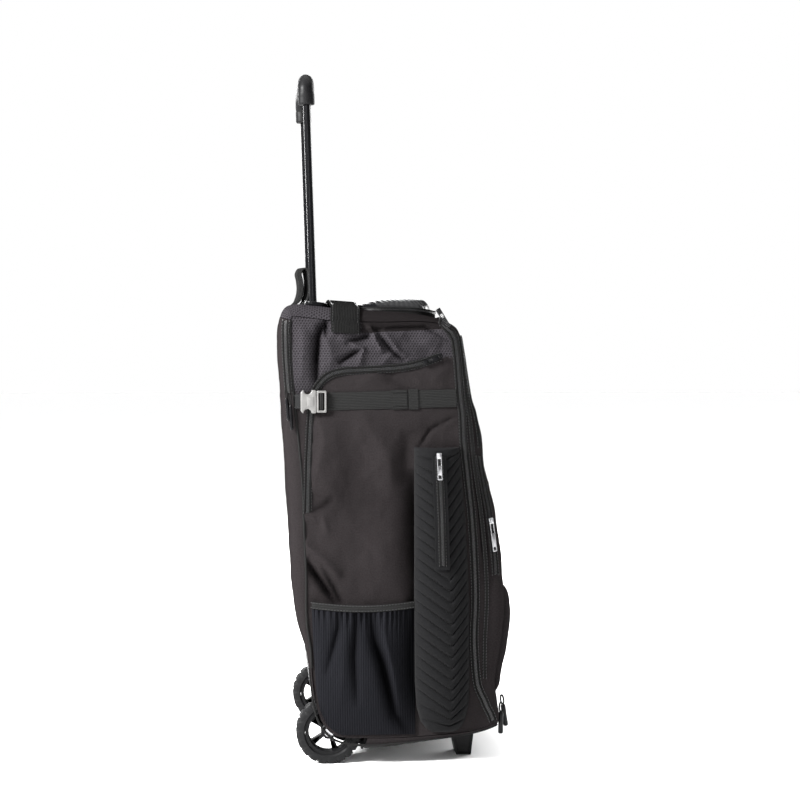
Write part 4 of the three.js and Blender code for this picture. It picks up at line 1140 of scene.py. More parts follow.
def closed(loop):
    """A loop that ends where it starts."""
    return np.vstack([loop, loop[:1]])


def even_turn(steps):
    """Angles of a full turn."""
    return np.linspace(0, 2 * math.pi, steps, endpoint=False)


def side_stations(places, lift, step=STRIP.step):
    """Stations of a strip that lies on the left side, through places in y and z."""
    path = even_path(smooth_path(places, STRIP.bends * len(places)), step)
    way = unit(np.gradient(path, axis=0))
    across = xyz(0.0, -way[:, 1], way[:, 0])
    return Stations(side_point(path[:, 0], path[:, 1], lift), same_way(LEFT, len(path)), across)


def seam_stations(first, last, inset, lift):
    """Stations beside the seam of the side panel, between two rows of the outline."""
    path = seam_at(np.linspace(first, last, STRIP.seam_steps), inset)
    return side_stations(even_path(path, STRIP.seam_step), lift)


def along_outline(row):
    """The way along the outline at rows of it."""
    inward = outline_at(row)[2]
    return xyz(0.0, inward[:, 1], -inward[:, 0])


def panel_stations(panel, low, high, turn, lift, steps=STRIP.panel_steps):
    """Stations between two heights of a panel, round its left corner by an angle."""
    rows = row_where(panel, 1, np.linspace(low, high, steps))
    up = panel_up(rows, LEFT_RIM, turn)
    across = unit(np.cross(up, along_outline(rows)))
    return Stations(panel_points(rows, LEFT_RIM, turn) + lift * up, up, across)


def reflect(stations):
    return Stations(*(part * MIRROR for part in stations))


def raised(stations, lift):
    return stations._replace(middle=stations.middle + lift * stations.up)


def ribbon(stations, half, thickness, slot, round_off=RIBBON.round):
    """A strip with rounded edges, its underside on the stations."""
    radius = min(thickness / 2, round_off)
    turn = np.linspace(-math.pi / 2, math.pi / 2, RIBBON.edge_steps)
    centre = np.where(turn < 0, radius, thickness - radius)
    edge = np.stack([half - radius + radius * np.cos(turn), centre + radius * np.sin(turn)], axis=-1)
    top = np.array([[half * share, thickness] for share in RIBBON.top])
    section = np.concatenate([[[0.0, 0.0]], edge, top, edge[::-1] * (-1.0, 1.0)])
    loops = stations.middle[:, None] + section[None, :, :1] * stations.across[:, None]
    return skin(loops + section[None, :, 1:] * stations.up[:, None], slot)


def tube(path, radius, slot, up=LEFT, sides=CORD_SIDES):
    """A round cord along a path; up is any way that the path never runs."""
    path = np.asarray(path, float)
    way = unit(np.gradient(path, axis=0))
    across = unit(np.cross(way, np.broadcast_to(up, way.shape)))
    above = np.cross(across, way)
    angle = even_turn(sides)[None, :, None]
    around = np.cos(angle) * across[:, None] + np.sin(angle) * above[:, None]
    return skin(path[:, None] + np.reshape(radius, (-1, 1, 1)) * around, slot)


TOOTH = np.array([(a, b, c) for c in (0, 1) for b in (-1, 1) for a in (-1, 1)], float)
TOOTH_FACES = ((0, 2, 3, 1), (4, 5, 7, 6), (0, 1, 5, 4), (2, 6, 7, 3), (0, 4, 6, 2), (1, 3, 7, 5))


def many_boxes(stations, half_across, half_along, height, offset, slot):
    """One small tapered box at each station, such as a tooth or a stitch."""
    shape = TOOTH * (half_across, half_along, height)
    shape[:, :2] *= np.where(TOOTH[:, 2:] > 0, BOX_TAPER, 1.0)
    middle = stations.middle + np.reshape(offset, (-1, 1)) * stations.across
    ways = np.stack([stations.across, np.cross(stations.across, stations.up), stations.up], axis=1)
    points = middle[:, None] + shape @ ways
    total = len(middle)
    starts = len(TOOTH) * np.arange(total)[:, None, None]
    faces = (np.array(TOOTH_FACES)[None] + starts).reshape(-1, 4).tolist()
    return Part(points.reshape(-1, 3), faces, np.tile(shape[:, :2], (total, 1)), slot)


def respaced(stations, step):
    """The same stations, about a step apart."""
    joined = np.concatenate(stations, axis=-1)
    along = np.concatenate([[0.0], np.cumsum(np.linalg.norm(np.diff(stations.middle, axis=0), axis=-1))])
    at = np.linspace(0, along[-1], max(2, round(along[-1] / step) + 1))
    middle, up, across = np.split(np.stack([np.interp(at, along, c) for c in joined.T], axis=-1), 3, axis=-1)
    return Stations(middle, unit(up), unit(across))


def coil(stations, teeth):
    """Two rows of zip teeth that mesh."""
    pitch = size("tooth")
    spots = raised(respaced(stations, pitch / 2), teeth.lift)
    side = np.where(np.arange(len(spots.middle)) % 2, teeth.row, -teeth.row)
    return many_boxes(spots, teeth.half, pitch * teeth.share, teeth.height, side, "teeth")


def stitches(stations, offset, slot="teeth"):
    step = size("stitch")
    spots = respaced(stations, STITCH.gap * step)
    return many_boxes(spots, STITCH.half, step / 2, STITCH.height, offset, slot)


def stitch_rows(stations, offset, slot="teeth"):
    """A row of stitches on each side of the middle."""
    return [stitches(stations, side * offset, slot) for side in (-1, 1)]


def zip_parts(stations, half=ZIP.half):
    """A zip: its tape and teeth, and a piped welt with a row of stitches along each edge."""
    parts = [ribbon(stations, half + ZIP.tape_over, ZIP.tape, "zip"), coil(stations, ZIP_TEETH)]
    top = raised(stations, ZIP.tape).middle
    for side in (-1, 1):
        edge = top + side * (half - ZIP.welt_in) * stations.across
        parts.append(tube(edge, ZIP.welt, "zip", stations.up, ZIP.welt_sides))
    return parts + stitch_rows(raised(stations, ZIP.stitch_lift), half + ZIP.stitch_over)


def twill_band(stations, half):
    """A flat band sewn beside a zip, with a row of slanted threads between two rows of stitches."""
    spots = raised(respaced(stations, TWILL.pitch), TWILL.lift)
    slanted = unit(spots.across + TWILL.slant * np.cross(spots.across, spots.up))
    thread = (half * TWILL.thread_share, TWILL.thread_half, TWILL.thread_height)
    threads = many_boxes(spots._replace(across=slanted), *thread, 0.0, "webbing")
    band = ribbon(stations, half, TWILL.thickness, "zip")
    return [band, threads] + stitch_rows(raised(stations, TWILL.lift), half - TWILL.stitch_in)


def frame_at(stations, along=None):
    """A matrix at the first station: across, along and up."""
    across, up = Vector(stations.across[0]), Vector(stations.up[0])
    along = up.cross(across) if along is None else along
    matrix = Matrix((across, along, up)).transposed().to_4x4()
    matrix.translation = Vector(stations.middle[0])
    return matrix


def box_at(place, shift, sides, bevel, slot):
    """A rounded box, shifted from a place."""
    return placed(rounded_box(sides, bevel, slot), place @ Matrix.Translation(shift))


def rounded_loop(half_x, half_y, radius, steps=CORNER_STEPS):
    """A rectangle with rounded corners about the origin."""
    corners = []
    for k, (x, y) in enumerate(((1, 1), (-1, 1), (-1, -1), (1, -1))):
        centre_x, centre_y = x * (half_x - radius), y * (half_y - radius)
        turn = np.linspace(0, math.pi / 2, steps) + k * math.pi / 2
        corners += [(centre_x + radius * math.cos(a), centre_y + radius * math.sin(a)) for a in turn]
    return corners


def shifted(loop, x, y):
    return [(a + x, b + y) for a, b in loop]


def window_puller(stations, slot="steel"):
    """A flat puller from the first station to the last, and the slider with the bridge that it hangs on."""
    way = stations.middle[-1] - stations.middle[0]
    reach = float(np.linalg.norm(way))
    edge = shifted(rounded_loop(PULLER.half, reach / 2, PULLER.corner), 0, reach / 2)
    eye = rounded_loop(PULLER.slot_half, reach * PULLER.slot_reach, PULLER.slot_corner)
    window = rounded_loop(PULLER.window_half, PULLER.window_reach, PULLER.window_corner)
    holes = [shifted(eye, 0, reach * PULLER.slot_at), shifted(window, 0, reach - PULLER.window_up)]
    hung = frame_at(stations, Vector(way).normalized()) @ Matrix.Translation((0, 0, PULLER.lift))
    loops = [edge] + [hole[::-1] for hole in holes]
    blade = placed(plate(loops, PULLER.thickness, PULLER.bevel, slot), hung)
    place = frame_at(stations)
    return [blade] + [box_at(place, (0, 0, block.lift), block.sides, block.bevel, slot) for block in SLIDER]


def cord_puller(top, bottom, radius):
    """A loop of cord through a slider and a round moulded end."""
    top, bottom = np.asarray(top, float), np.asarray(bottom, float)
    neck = top + CORD_PULL.neck * (bottom - top)
    bow = unit(np.cross(bottom - top, RIGHT)) * radius * CORD_PULL.bow
    turn = even_turn(CORD_PULL.loop_steps)
    loop = (top + neck) / 2 + np.outer(np.cos(turn), (top - neck) / 2) + np.outer(np.sin(turn), bow)
    ring = tube(closed(loop), radius * CORD_PULL.cord, "webbing", RIGHT, CORD_PULL.cord_sides)
    shares, radii = np.array(CORD_END).T
    end = tube(neck + np.outer(shares, bottom - neck), radius * radii, "gloss_black", RIGHT, CORD_PULL.sides)
    return [ring, end]


def round_axle(x, radius, angle):
    """Points round the axle of the wheels."""
    return xyz(x, AXLE.y + radius * np.cos(angle), AXLE.z + radius * np.sin(angle))


# Operators, one for each piece or group of like pieces


class BAG_OT_stage(bpy.types.Operator):
    """Make the floor, the soft studio light and the camera at the photograph's angle"""

    bl_idname = "bag.stage"
    bl_label = "Stage"

    def execute(self, context):
        scene = context.scene
        camera = bpy.data.cameras.new("camera")
        camera.lens = CAMERA.lens
        camera.sensor_width = CAMERA.sensor
        camera.clip_end = CAMERA.far
        holder = bpy.data.objects.new("camera", camera)
        scene.collection.objects.link(holder)
        yaw, pitch = math.radians(CAMERA.yaw), math.radians(CAMERA.pitch)
        holder.location = Vector(CAMERA.place) * MM
        way = Vector((math.cos(yaw) * math.cos(pitch), -math.sin(yaw) * math.cos(pitch), -math.sin(pitch)))
        holder.rotation_euler = way.to_track_quat("-Z", "Y").to_euler()
        scene.camera = holder
        for box in LAMPS:
            self.lamp(scene, box)
        self.daylight(scene)
        self.world(scene)
        self.floor(scene)
        return {"FINISHED"}

    def lamp(self, scene, box):
        """A soft box that faces the bag."""
        lamp = bpy.data.lights.new(box.name, "AREA")
        lamp.shape = "RECTANGLE"
        lamp.size, lamp.size_y = box.sides
        lamp.energy = box.power
        holder = bpy.data.objects.new(box.name, lamp)
        holder.location = box.place
        holder.rotation_euler = (Vector(LAMP_AIM) - holder.location).to_track_quat("-Z", "Y").to_euler()
        scene.collection.objects.link(holder)

    def daylight(self, scene):
        """A wide light from straight above, which whitens the floor as far as it goes."""
        lamp = bpy.data.lights.new("ceiling", "SUN")
        lamp.energy = CEILING.power
        lamp.angle = math.radians(CEILING.angle)
        scene.collection.objects.link(bpy.data.objects.new("ceiling", lamp))

    def world(self, scene):
        """White walls round the studio, darker overhead and on the side that the bag is seen from."""
        world = bpy.data.worlds.new("studio")
        world.use_nodes = True
        tree = Tree(world.node_tree)
        sky = next(n for n in world.node_tree.nodes if n.type == "BACKGROUND")
        sky.inputs["Color"].default_value = (1.0, 1.0, 1.0, 1.0)
        way = tree.split(tree.node("ShaderNodeTexCoord").outputs["Generated"])
        fades = []
        for axis, limits in (("Z", WALLS), ("X", NEAR_WALLS)):
            smooth = {"interpolation_type": "SMOOTHSTEP"}
            fades.append(tree.node("ShaderNodeMapRange", smooth, Value=way[axis], **limits).outputs[0])
        tree.feed(sky.inputs["Strength"], tree.math("MULTIPLY", *fades))
        scene.world = world
        scene.view_settings.view_transform = "Standard"

    def floor(self, scene):
        half = FLOOR.half
        corners = [(x * half, y * half, 0.0) for x, y in ((-1, -1), (1, -1), (1, 1), (-1, 1))]
        data = bpy.data.meshes.new("floor")
        data.from_pydata(corners, [], [(0, 1, 2, 3)])
        made = Finish("studio floor", False, FLOOR.roughness)
        tone = made.use(uneven_tone(), "Tone", Scale=FLOOR.tone_scale)
        made.tone(tone, scaled(colours().floor, FLOOR.dark), scaled(colours().floor, 1.0))
        data.materials.append(made.material)
        floor = bpy.data.objects.new("floor", data)
        scene.collection.objects.link(floor)


class BAG_OT_panels(bpy.types.Operator):
    """Sew the back, lid, front flap and side panels, with their folds and piping"""

    bl_idname = "bag.panels"
    bl_label = "Panels"

    def execute(self, context):
        self.turned_panel("back_panel", "back", "plain_cloth")
        self.turned_panel("top_panel", "top", "mesh_cloth")
        self.turned_panel("front_flap", "front", "plain_cloth")
        # Painted shade darkens the side cloth in the valleys of its folds
        for piece in make_pair("side_panel", [self.side()], "side_panel"):
            paint_fold_shade(piece, SIDE_FOLDS)
        self.give_mesh_yoke()
        self.piping()
        return {"FINISHED"}

    def turned_panel(self, node, panel, slot):
        rows, flat, turn = panel_grid(panel, PANEL_STEPS["flat"])
        outer, inner = (panel_points(rows, flat, turn, inset) for inset in (0.0, CLOTH))
        loose = np.sin(np.linspace(0, math.pi, len(rows)))[:, None] ** 0.5 * np.cos(turn)
        lift = wrinkled(outer, "panel") * loose
        if panel == "front":
            lift = lift + self.flap_relief(outer, turn)
        rise = lift[..., None] * panel_up(rows, flat, turn)
        piece = make_piece(node, [wall(outer + rise, inner + rise, slot)], [node])
        if panel == "top":
            self.give_plain_front(piece)

    def give_plain_front(self, lid):
        """The lid is plain cloth round the pod, darkened with painted shade."""
        lid.data.materials.append(finish("lid_cloth"))
        for face in lid.data.polygons:
            if face.center.y / MM < LID_BAND.back:
                face.material_index = 1

    def flap_relief(self, outer, turn):
        """The flap sinks beside the upper pocket, where its side folds in."""
        height = np.exp(-(((outer[..., 2] - FLAP_DIP.z) / FLAP_DIP.reach) ** 4))
        beside = np.exp(-(((turn - FLAP_DIP.turn) / FLAP_DIP.over) ** 2))
        return -FLAP_DIP.depth * height * beside * (np.abs(outer[..., 0]) > FLAP_DIP.clear)

    def side(self):
        rows = np.interp(np.arange(SIDE_STEPS.rows), SIDE_ROWS, SIDE_SHARES)
        s = np.linspace(0, 1, SIDE_STEPS.columns)[None, :, None]
        t = rows[:, None, None]

        def seam(name, share, backwards=False):
            start, end = span(name)
            return seam_at(start + (end - start) * (1 - share if backwards else share)[..., 0], SIDE_INSET)

        bottom, top = seam("base", s, True), seam("top", s)
        back, front = seam("back", t), seam("front", t, True)
        place = (1 - t) * bottom + t * top + (1 - s) * back + s * front
        place = place - (1 - s) * (1 - t) * bottom[:, :1] - s * (1 - t) * bottom[:, -1:]
        place = place - (1 - s) * t * top[:, :1] - s * t * top[:, -1:]
        y, z = place[..., 0], place[..., 1]
        near_edge = np.minimum(np.minimum(s, 1 - s), np.minimum(t, 1 - t))[..., 0]
        relief = side_relief(y, z) * np.clip(near_edge / SIDE_CLOTH.edge_share, 0, 1)
        return wall(side_point(y, z, relief), side_point(y, z, relief - CLOTH), "plain_cloth", place.copy())

    def give_mesh_yoke(self):
        """The side above its zip, and the column behind it, is hexagon mesh up to the band under the lid."""
        zip_y, zip_z = np.array(SIDE_ZIP[:YOKE_CORNERS]).T
        for side in SIDES:
            data = bpy.data.objects[f"side_panel_{side}_look"].data
            for slot in ("mesh_cloth", "lid_cloth"):
                data.materials.append(finish(slot))
            for face in data.polygons:
                _, y, z = face.center / MM
                # The band under the lid takes the plain cloth darkened with painted shade
                if y < LID_BAND.back and z > LID_BAND.z + LID_BAND.rise * (LID_BAND.back - y):
                    face.material_index = 2
                elif z > max(YOKE_LOW, float(np.interp(y, zip_y, zip_z))):
                    face.material_index = 1

    def piping(self):
        front, base, back = span("front"), span("base"), span("back")
        seams = {"front": (front[0] + MAIN_ZIP.high, front[1]), "back": (base[1], base[1] + back[1])}
        paths = {name: seam_stations(*rows, PIPING.inset, PIPING.lift).middle for name, rows in seams.items()}
        rows = np.linspace(*base, PIPING.base_steps)
        turn = np.full(rows.shape, PIPING.base_turn)
        out = PIPING.base_lift * panel_up(rows, LEFT_RIM, turn)
        paths["base"] = panel_points(rows, LEFT_RIM, turn) + out
        for name, path in paths.items():
            make_pair(f"{name}_piping", [tube(path, size("piping"), "webbing")])


class BAG_OT_front_pockets(bpy.types.Operator):
    """Make the two pockets on the front flap, with their seams"""

    bl_idname = "bag.front_pockets"
    bl_label = "Front pockets"

    def execute(self, context):
        for name, dome in FRONT_POCKETS.items():
            outer, inner = self.dome(dome, 0.0), self.dome(dome, dome.wall)
            lift = np.pad(wrinkled(outer, "front_pocket")[1:-1, 1:-1], 1)
            loose = outer + lift[..., None] * grid_normals(outer, FRONT)
            parts = [wall(loose, inner, "plain_cloth"), self.edge_seam(dome)]
            piece = make_piece(name, parts, [name])
        return {"FINISHED"}

    def dome(self, dome, inset):
        share = close_at_ends(DOME_STEPS)
        u, v = share[None, :], share[:, None]
        z = (dome.low + dome.high) / 2 + v * ((dome.high - dome.low) / 2 - inset)
        out = LIFT + (dome.depth - inset) * domed(u, dome.power) * domed(v, dome.power)
        return xyz(u * (dome.half - inset), flap_face(z) - out, z)

    def edge_seam(self, dome):
        """Piping round the pocket where it is sewn to the flap."""
        inset = POCKET_SEAM.inset
        half_z = (dome.high - dome.low) / 2 - inset
        loop = rounded_loop(dome.half - inset, half_z, POCKET_SEAM.corner, WIDE_CORNER_STEPS)
        path = even_path(closed(loop), POCKET_SEAM.step)
        z = path[:, 1] + (dome.low + dome.high) / 2
        line = xyz(path[:, 0], flap_face(z) - LIFT - POCKET_SEAM.lift, z)
        return tube(line, size("piping") * POCKET_SEAM.share, "webbing", FRONT)


class BAG_OT_pod(bpy.types.Operator):
    """Mould the fluted pod on the lid, with the zip round it"""

    bl_idname = "bag.pod"
    bl_label = "Pod on the lid"

    def execute(self, context):
        u = close_at_ends(POD.columns)[None, :]
        v = POD.tip * close_at_ends(POD.rows)[:, None]
        y = (POD.back + POD.front) / 2 + v * (POD.back - POD.front) / 2
        low = lid_height(y) + LIFT
        x = u * POD.half * domed(v, np.where(v > 0, POD.back_power, POD.front_power))
        rise = domed(u, POD.across) * domed(v, np.where(v > 0, POD.back_dome, POD.front_power))
        reach = np.hypot(x, y - POD.flute_centre) - (POD.front - POD.flute_centre)
        waves = count("flutes") * reach / (POD.back - POD.front)
        top = low + (POD.top - low - POD.flute * np.cos(math.pi * waves) ** 2) * rise
        outer = xyz(x, y, top)
        under = xyz(x, y, low - LIFT / 2)
        shell = wall(outer, under, "gloss_black")
        make_piece("lid_pod", [shell], ["lid_pod"], sharp=POD_SHARP_ANGLE)
        self.lid_zip()
        return {"FINISHED"}

    def lid_zip(self):
        """A zipped gusset that stands up round the pod, highest at the front."""
        out = LID_ZIP.clear + LID_ZIP.width / 2
        middle = (POD.back + POD.front) / 2
        half_y = (POD.back - POD.front) / 2 + out
        loop = rounded_loop(POD.half + out, half_y, LID_ZIP.corner, WIDE_CORNER_STEPS)
        path = even_path(closed(loop), LID_ZIP.step)[:-1]
        y = path[:, 1] + middle
        low = lid_height(y) + LIFT
        front_share = (POD.back - y) / (POD.back - POD.front)
        high = low + LID_ZIP.height + LID_ZIP.front_rise * np.clip(front_share, 0, 1)
        place = xyz(path[:, 0], y, low)
        way = unit(np.roll(place, -1, axis=0) - np.roll(place, 1, axis=0))
        outward = unit(np.cross(way, UP))
        inner, outer = (place + side * LID_ZIP.wall * outward for side in (-1, 1))
        inner_top, outer_top = (xyz(edge[:, 0], edge[:, 1], high) for edge in (inner, outer))
        gusset = skin(np.stack([inner, outer, outer_top, inner_top], axis=1), "zip", ring=True)
        rim = tube(closed(outer_top), LID_ZIP.wall, "webbing", UP, LID_ZIP.rim_sides)
        line = Stations(outer_top - (0, 0, LID_ZIP.teeth_drop), outward, same_way(UP, len(place)))
        make_piece("lid_zip", [gusset, rim, coil(line, LID_TEETH)], ["lid_zip"])


class BAG_OT_sleeves(bpy.types.Operator):
    """Press the ribbed bat sleeves, with the welted zip down their middle"""

    bl_idname = "bag.sleeves"
    bl_label = "Bat sleeves"

    def execute(self, context):
        for piece in make_pair("bat_sleeve", [self.sleeve()], "bat_sleeve"):
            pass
        line = self.middle_line(SLEEVE_ZIP.low, SLEEVE_ZIP.high, LIFT)
        foot = self.middle_line(SLEEVE_ZIP.low - SLEEVE_ZIP.foot, SLEEVE_ZIP.low, LIFT, PULL_STEPS)
        welts = [ribbon(line, SLEEVE_ZIP.welt_half, SLEEVE_ZIP.welt, "neoprene")]
        welts += stitch_rows(raised(line, SLEEVE_ZIP.welt), SLEEVE_ZIP.stitches, "neoprene")
        welts.append(ribbon(foot, SLEEVE_ZIP.welt_half, SLEEVE_ZIP.foot_thickness, "neoprene"))
        welts += zip_parts(raised(line, SLEEVE_ZIP.lift), SLEEVE_ZIP.half)
        make_pair("sleeve_zip", welts, "sleeve_zip")
        pull = self.middle_line(SLEEVE_PULL.high, SLEEVE_PULL.low, SLEEVE_PULL.lift, PULL_STEPS)
        make_pair("sleeve_pull", window_puller(pull), "sleeve_pull")
        return {"FINISHED"}

    def section(self, z):
        """Middle, half width and bulge of the sleeve at heights."""
        heights, back, front, bulge = np.array(SLEEVE).T
        back, front, bulge = (np.interp(z, heights, column) for column in (back, front, bulge))
        return (back + front) / 2, (back - front) / 2, bulge

    def sleeve(self):
        """Chevron ribs: each one runs along a level that rises to both edges of the sleeve."""
        ribs = count("ribs")
        bottom, top = SLEEVE[0].z, SLEEVE[-1].z
        share = np.linspace(0, 1, RIBS.steps * ribs + 1)[:, None]
        turn = np.linspace(0, math.pi, RIBS.columns)[None, :]
        level = bottom + share * (top - bottom)
        fade = np.minimum(1, RIBS.fade * np.minimum(share, 1 - share))
        half = self.section(level)[1]
        tip = np.interp(share, (RIBS.tip_from, 1.0), (RIBS.tip_low, RIBS.tip_top))
        offset = half * (np.cos(turn) + tip)
        rise = np.where(offset > 0, RIBS.back_slope, -RIBS.front_slope) * offset
        z = np.minimum(level + fade * (rise - RIBS.drop * half), top)
        middle, half, bulge = self.section(z)
        phase = (share * ribs) % 1.0
        groove_reach = np.minimum(phase, 1 - phase) * (top - bottom) / ribs
        groove = np.exp(-((groove_reach / RIBS.groove) ** 2))
        crown = 1 - (2 * phase - 1) ** 2
        ribbed = size("rib_depth") * (RIBS.crown * crown - groove)

        def surface(thickness, relief):
            y = middle + (half - thickness) * np.cos(turn)
            out = np.maximum(bulge - thickness + relief, RIBS.least)
            return side_point(y, z, LIFT + out * np.sin(turn) ** RIBS.roundness)

        return wall(surface(0.0, ribbed), surface(SLEEVE_WALL, 0.0), "neoprene")

    def middle_line(self, low, high, lift, steps=SLEEVE_ZIP.steps):
        """Stations up the middle of the sleeve."""
        z = np.linspace(low, high, steps)
        middle, _, bulge = self.section(z)
        out = LIFT + bulge + size("rib_depth") * SLEEVE_ZIP.out + lift
        return Stations(side_point(middle, z, out), same_way(LEFT, steps), same_way(BACK, steps))


class BAG_OT_elastic_pockets(bpy.types.Operator):
    """Gather the stretch pockets under their bindings"""

    bl_idname = "bag.elastic_pockets"
    bl_label = "Elastic pockets"

    def execute(self, context):
        s = np.linspace(0, 1, POCKET_STEPS.columns)[None, :]
        t = np.linspace(0, 1, POCKET_STEPS.rows)[:, None]
        outer, inner = (self.surface(lift, s, t) for lift in (LIFT + POCKET_WALL, LIFT))
        cloth = wall(outer, inner, "stretch_cloth", outer[..., 1:].copy())
        pockets = make_pair("elastic_pocket", [cloth], "elastic_pocket")
        bindings = make_pair("pocket_binding", self.binding(), "pocket_binding")
        # Painted shade darkens the pocket cloth in the valleys of its folds
        for side, pocket, binding in zip(SIDES, pockets, bindings):
            paint_fold_shade(pocket, POCKET_FOLDS)
        return {"FINISHED"}

    def surface(self, lift, s, t, gathered=True):
        """The pocket at shares of its width from the back edge and of its height."""
        bottom = POCKET_BACK[0].z
        z = bottom + t * (POCKET_TOP - POCKET_SAG * np.sin(math.pi * s) - bottom)
        edge_y, edge_z = np.array(POCKET_BACK).T
        back = np.interp(z, edge_z, edge_y)
        y = back + s * (POCKET_FRONT - back)
        rise = np.where(t < 0.5, np.sin(math.pi * t), 1 - (1 - POCKET_MOUTH) * (2 * t - 1) ** 2)
        bow = np.sqrt(np.sin(math.pi * s).clip(0))
        loose = self.gathers(s, t) + self.hanging(y, z, t) if gathered else 0.0
        return side_point(y, z, lift + bow * np.maximum(POCKET_DEPTH * rise + loose, 0.0))

    def gathers(self, s, t):
        """Uneven gathers that the binding draws up."""

        def wave_at(wave):
            return wave.height * np.sin(wave.rate * s + wave.start)

        phase = 2 * math.pi * count("gathers") * (s + sum(wave_at(wave) for wave in GATHER_SHIFTS))
        height = size("gather") * (GATHERS.mean + wave_at(GATHER_SWELL))
        return t ** GATHERS.power * np.sin(phase) * height

    def hanging(self, y, z, t):
        """Folds that hang from the binding and die out at the pocket's ends."""
        within = np.clip(t, GATHERS.end, 1 - GATHERS.end)
        return folded(y, z, POCKET_FOLDS) * np.sin(math.pi * within) ** GATHERS.end_power

    def binding(self):
        s = np.linspace(0, 1, POCKET_STEPS.columns)[None, :]
        mouth = self.surface(LIFT + POCKET_WALL / 2, s, np.ones((1, 1)), gathered=False)[0]
        thick, height = BINDING.thickness, BINDING.height
        floor = side_point(mouth[:, 1], mouth[:, 2], LIFT + thick / 2)[:, 0]
        mouth[:, 0] = np.minimum(mouth[:, 0], floor)
        middle = mouth + (thick / 2, 0.0, BINDING.above + height / 2)
        line = Stations(middle, same_way(LEFT, len(middle)), same_way(UP, len(middle)))
        band = ribbon(line, height / 2, thick, "webbing")
        return [band] + [stitches(raised(line, thick), share * height) for share in BINDING.stitches]


class BAG_OT_zips(bpy.types.Operator):
    """Lay the main zip, the side and back zips and the pocket zip, and hang their pulls"""

    bl_idname = "bag.zips"
    bl_label = "Zips and pulls"

    def execute(self, context):
        make_piece("main_zip", self.main_zip(), ["main_zip"])
        make_pair("side_zip", zip_parts(side_stations(SIDE_ZIP, LIFT)), "side_zip")
        back = panel_stations("back", BACK_ZIP.low, BACK_ZIP.high, BACK_ZIP.turn, LIFT)
        make_pair("back_zip", zip_parts(back), "back_zip")
        low, high, turn = UPPER_POCKET_ZIP.low, UPPER_POCKET_ZIP.high, UPPER_POCKET_ZIP.turn
        flap = panel_stations("front", low, high, turn, LIFT)
        make_piece("pocket_zip", zip_parts(flap), ["pocket_zip"])
        self.pulls()
        return {"FINISHED"}

    def main_zip(self):
        """Up the left seam of the flap, over the lid and down the right seam."""
        start, end = span("front")
        left = seam_stations(end - MAIN_ZIP.low, start + MAIN_ZIP.high, MAIN_ZIP.inset, LIFT)
        flat, turn = across_columns(PANEL_STEPS["corner"], MAIN_ZIP.flat_steps)
        row = np.full(flat.shape, start + MAIN_ZIP.on_flap)
        up = panel_up(row, flat, turn)
        lid = Stations(panel_points(row, flat, turn) + 2 * LIFT * up, up, along_outline(row))
        right = Stations(*(part[::-1] for part in reflect(left)))
        joined = Stations(*(np.concatenate(group) for group in zip(left, lid, right)))
        for before, after in zip(joined.across, joined.across[1:]):
            if np.dot(before, after) < 0:
                after *= -1
        parts = zip_parts(respaced(joined, MAIN_ZIP.step), MAIN_ZIP.half)
        for band in FLAP_BANDS:
            line = panel_stations("front", band.low, band.high, band.turn, LIFT)
            parts += twill_band(line, band.half) + twill_band(reflect(line), band.half)
        return parts

    def pulls(self):
        line = side_stations(SIDE_PULL, SIDE_PULL_LIFT)
        make_pair("side_pull", window_puller(line, "gloss_black"), "side_pull")
        self.lid_pull()
        pull = UPPER_POCKET_PULL
        line = panel_stations("front", pull.high, pull.low, UPPER_POCKET_ZIP.turn, pull.lift)
        make_piece("pocket_pull", window_puller(line), ["pocket_pull"])
        pull = BACK_PULL
        line = panel_stations("back", pull.high, pull.low, pull.turn, pull.lift, PULL_STEPS)
        top, low = line.middle[0], line.middle[-1]
        parts = cord_puller(top, low, pull.radius)
        parts += cord_puller(top + BACK_PULL_SECOND.top, low + BACK_PULL_SECOND.low, pull.radius)
        make_pair("back_pull", parts, "back_pull")
        parts = []
        for pull in MAIN_PULLS:
            top, low = (-pull.x, pull.top_y, pull.high), (-pull.x, pull.low_y, pull.low)
            parts += cord_puller(top, low, MAIN_PULL_RADIUS)
        make_pair("main_pull", parts, "main_pull")

    def lid_pull(self):
        line = side_stations(LID_PULL, LID_PULL_LIFT)
        ridge = LID_PULL_RIDGES
        spots = raised(respaced(line, ridge.step), ridge.lift)
        ridges = many_boxes(spots, ridge.half, ridge.half_along, ridge.height, 0.0, "teeth")
        make_piece("lid_pull", window_puller(line, "gloss_black") + [ridges], ["lid_pull"])


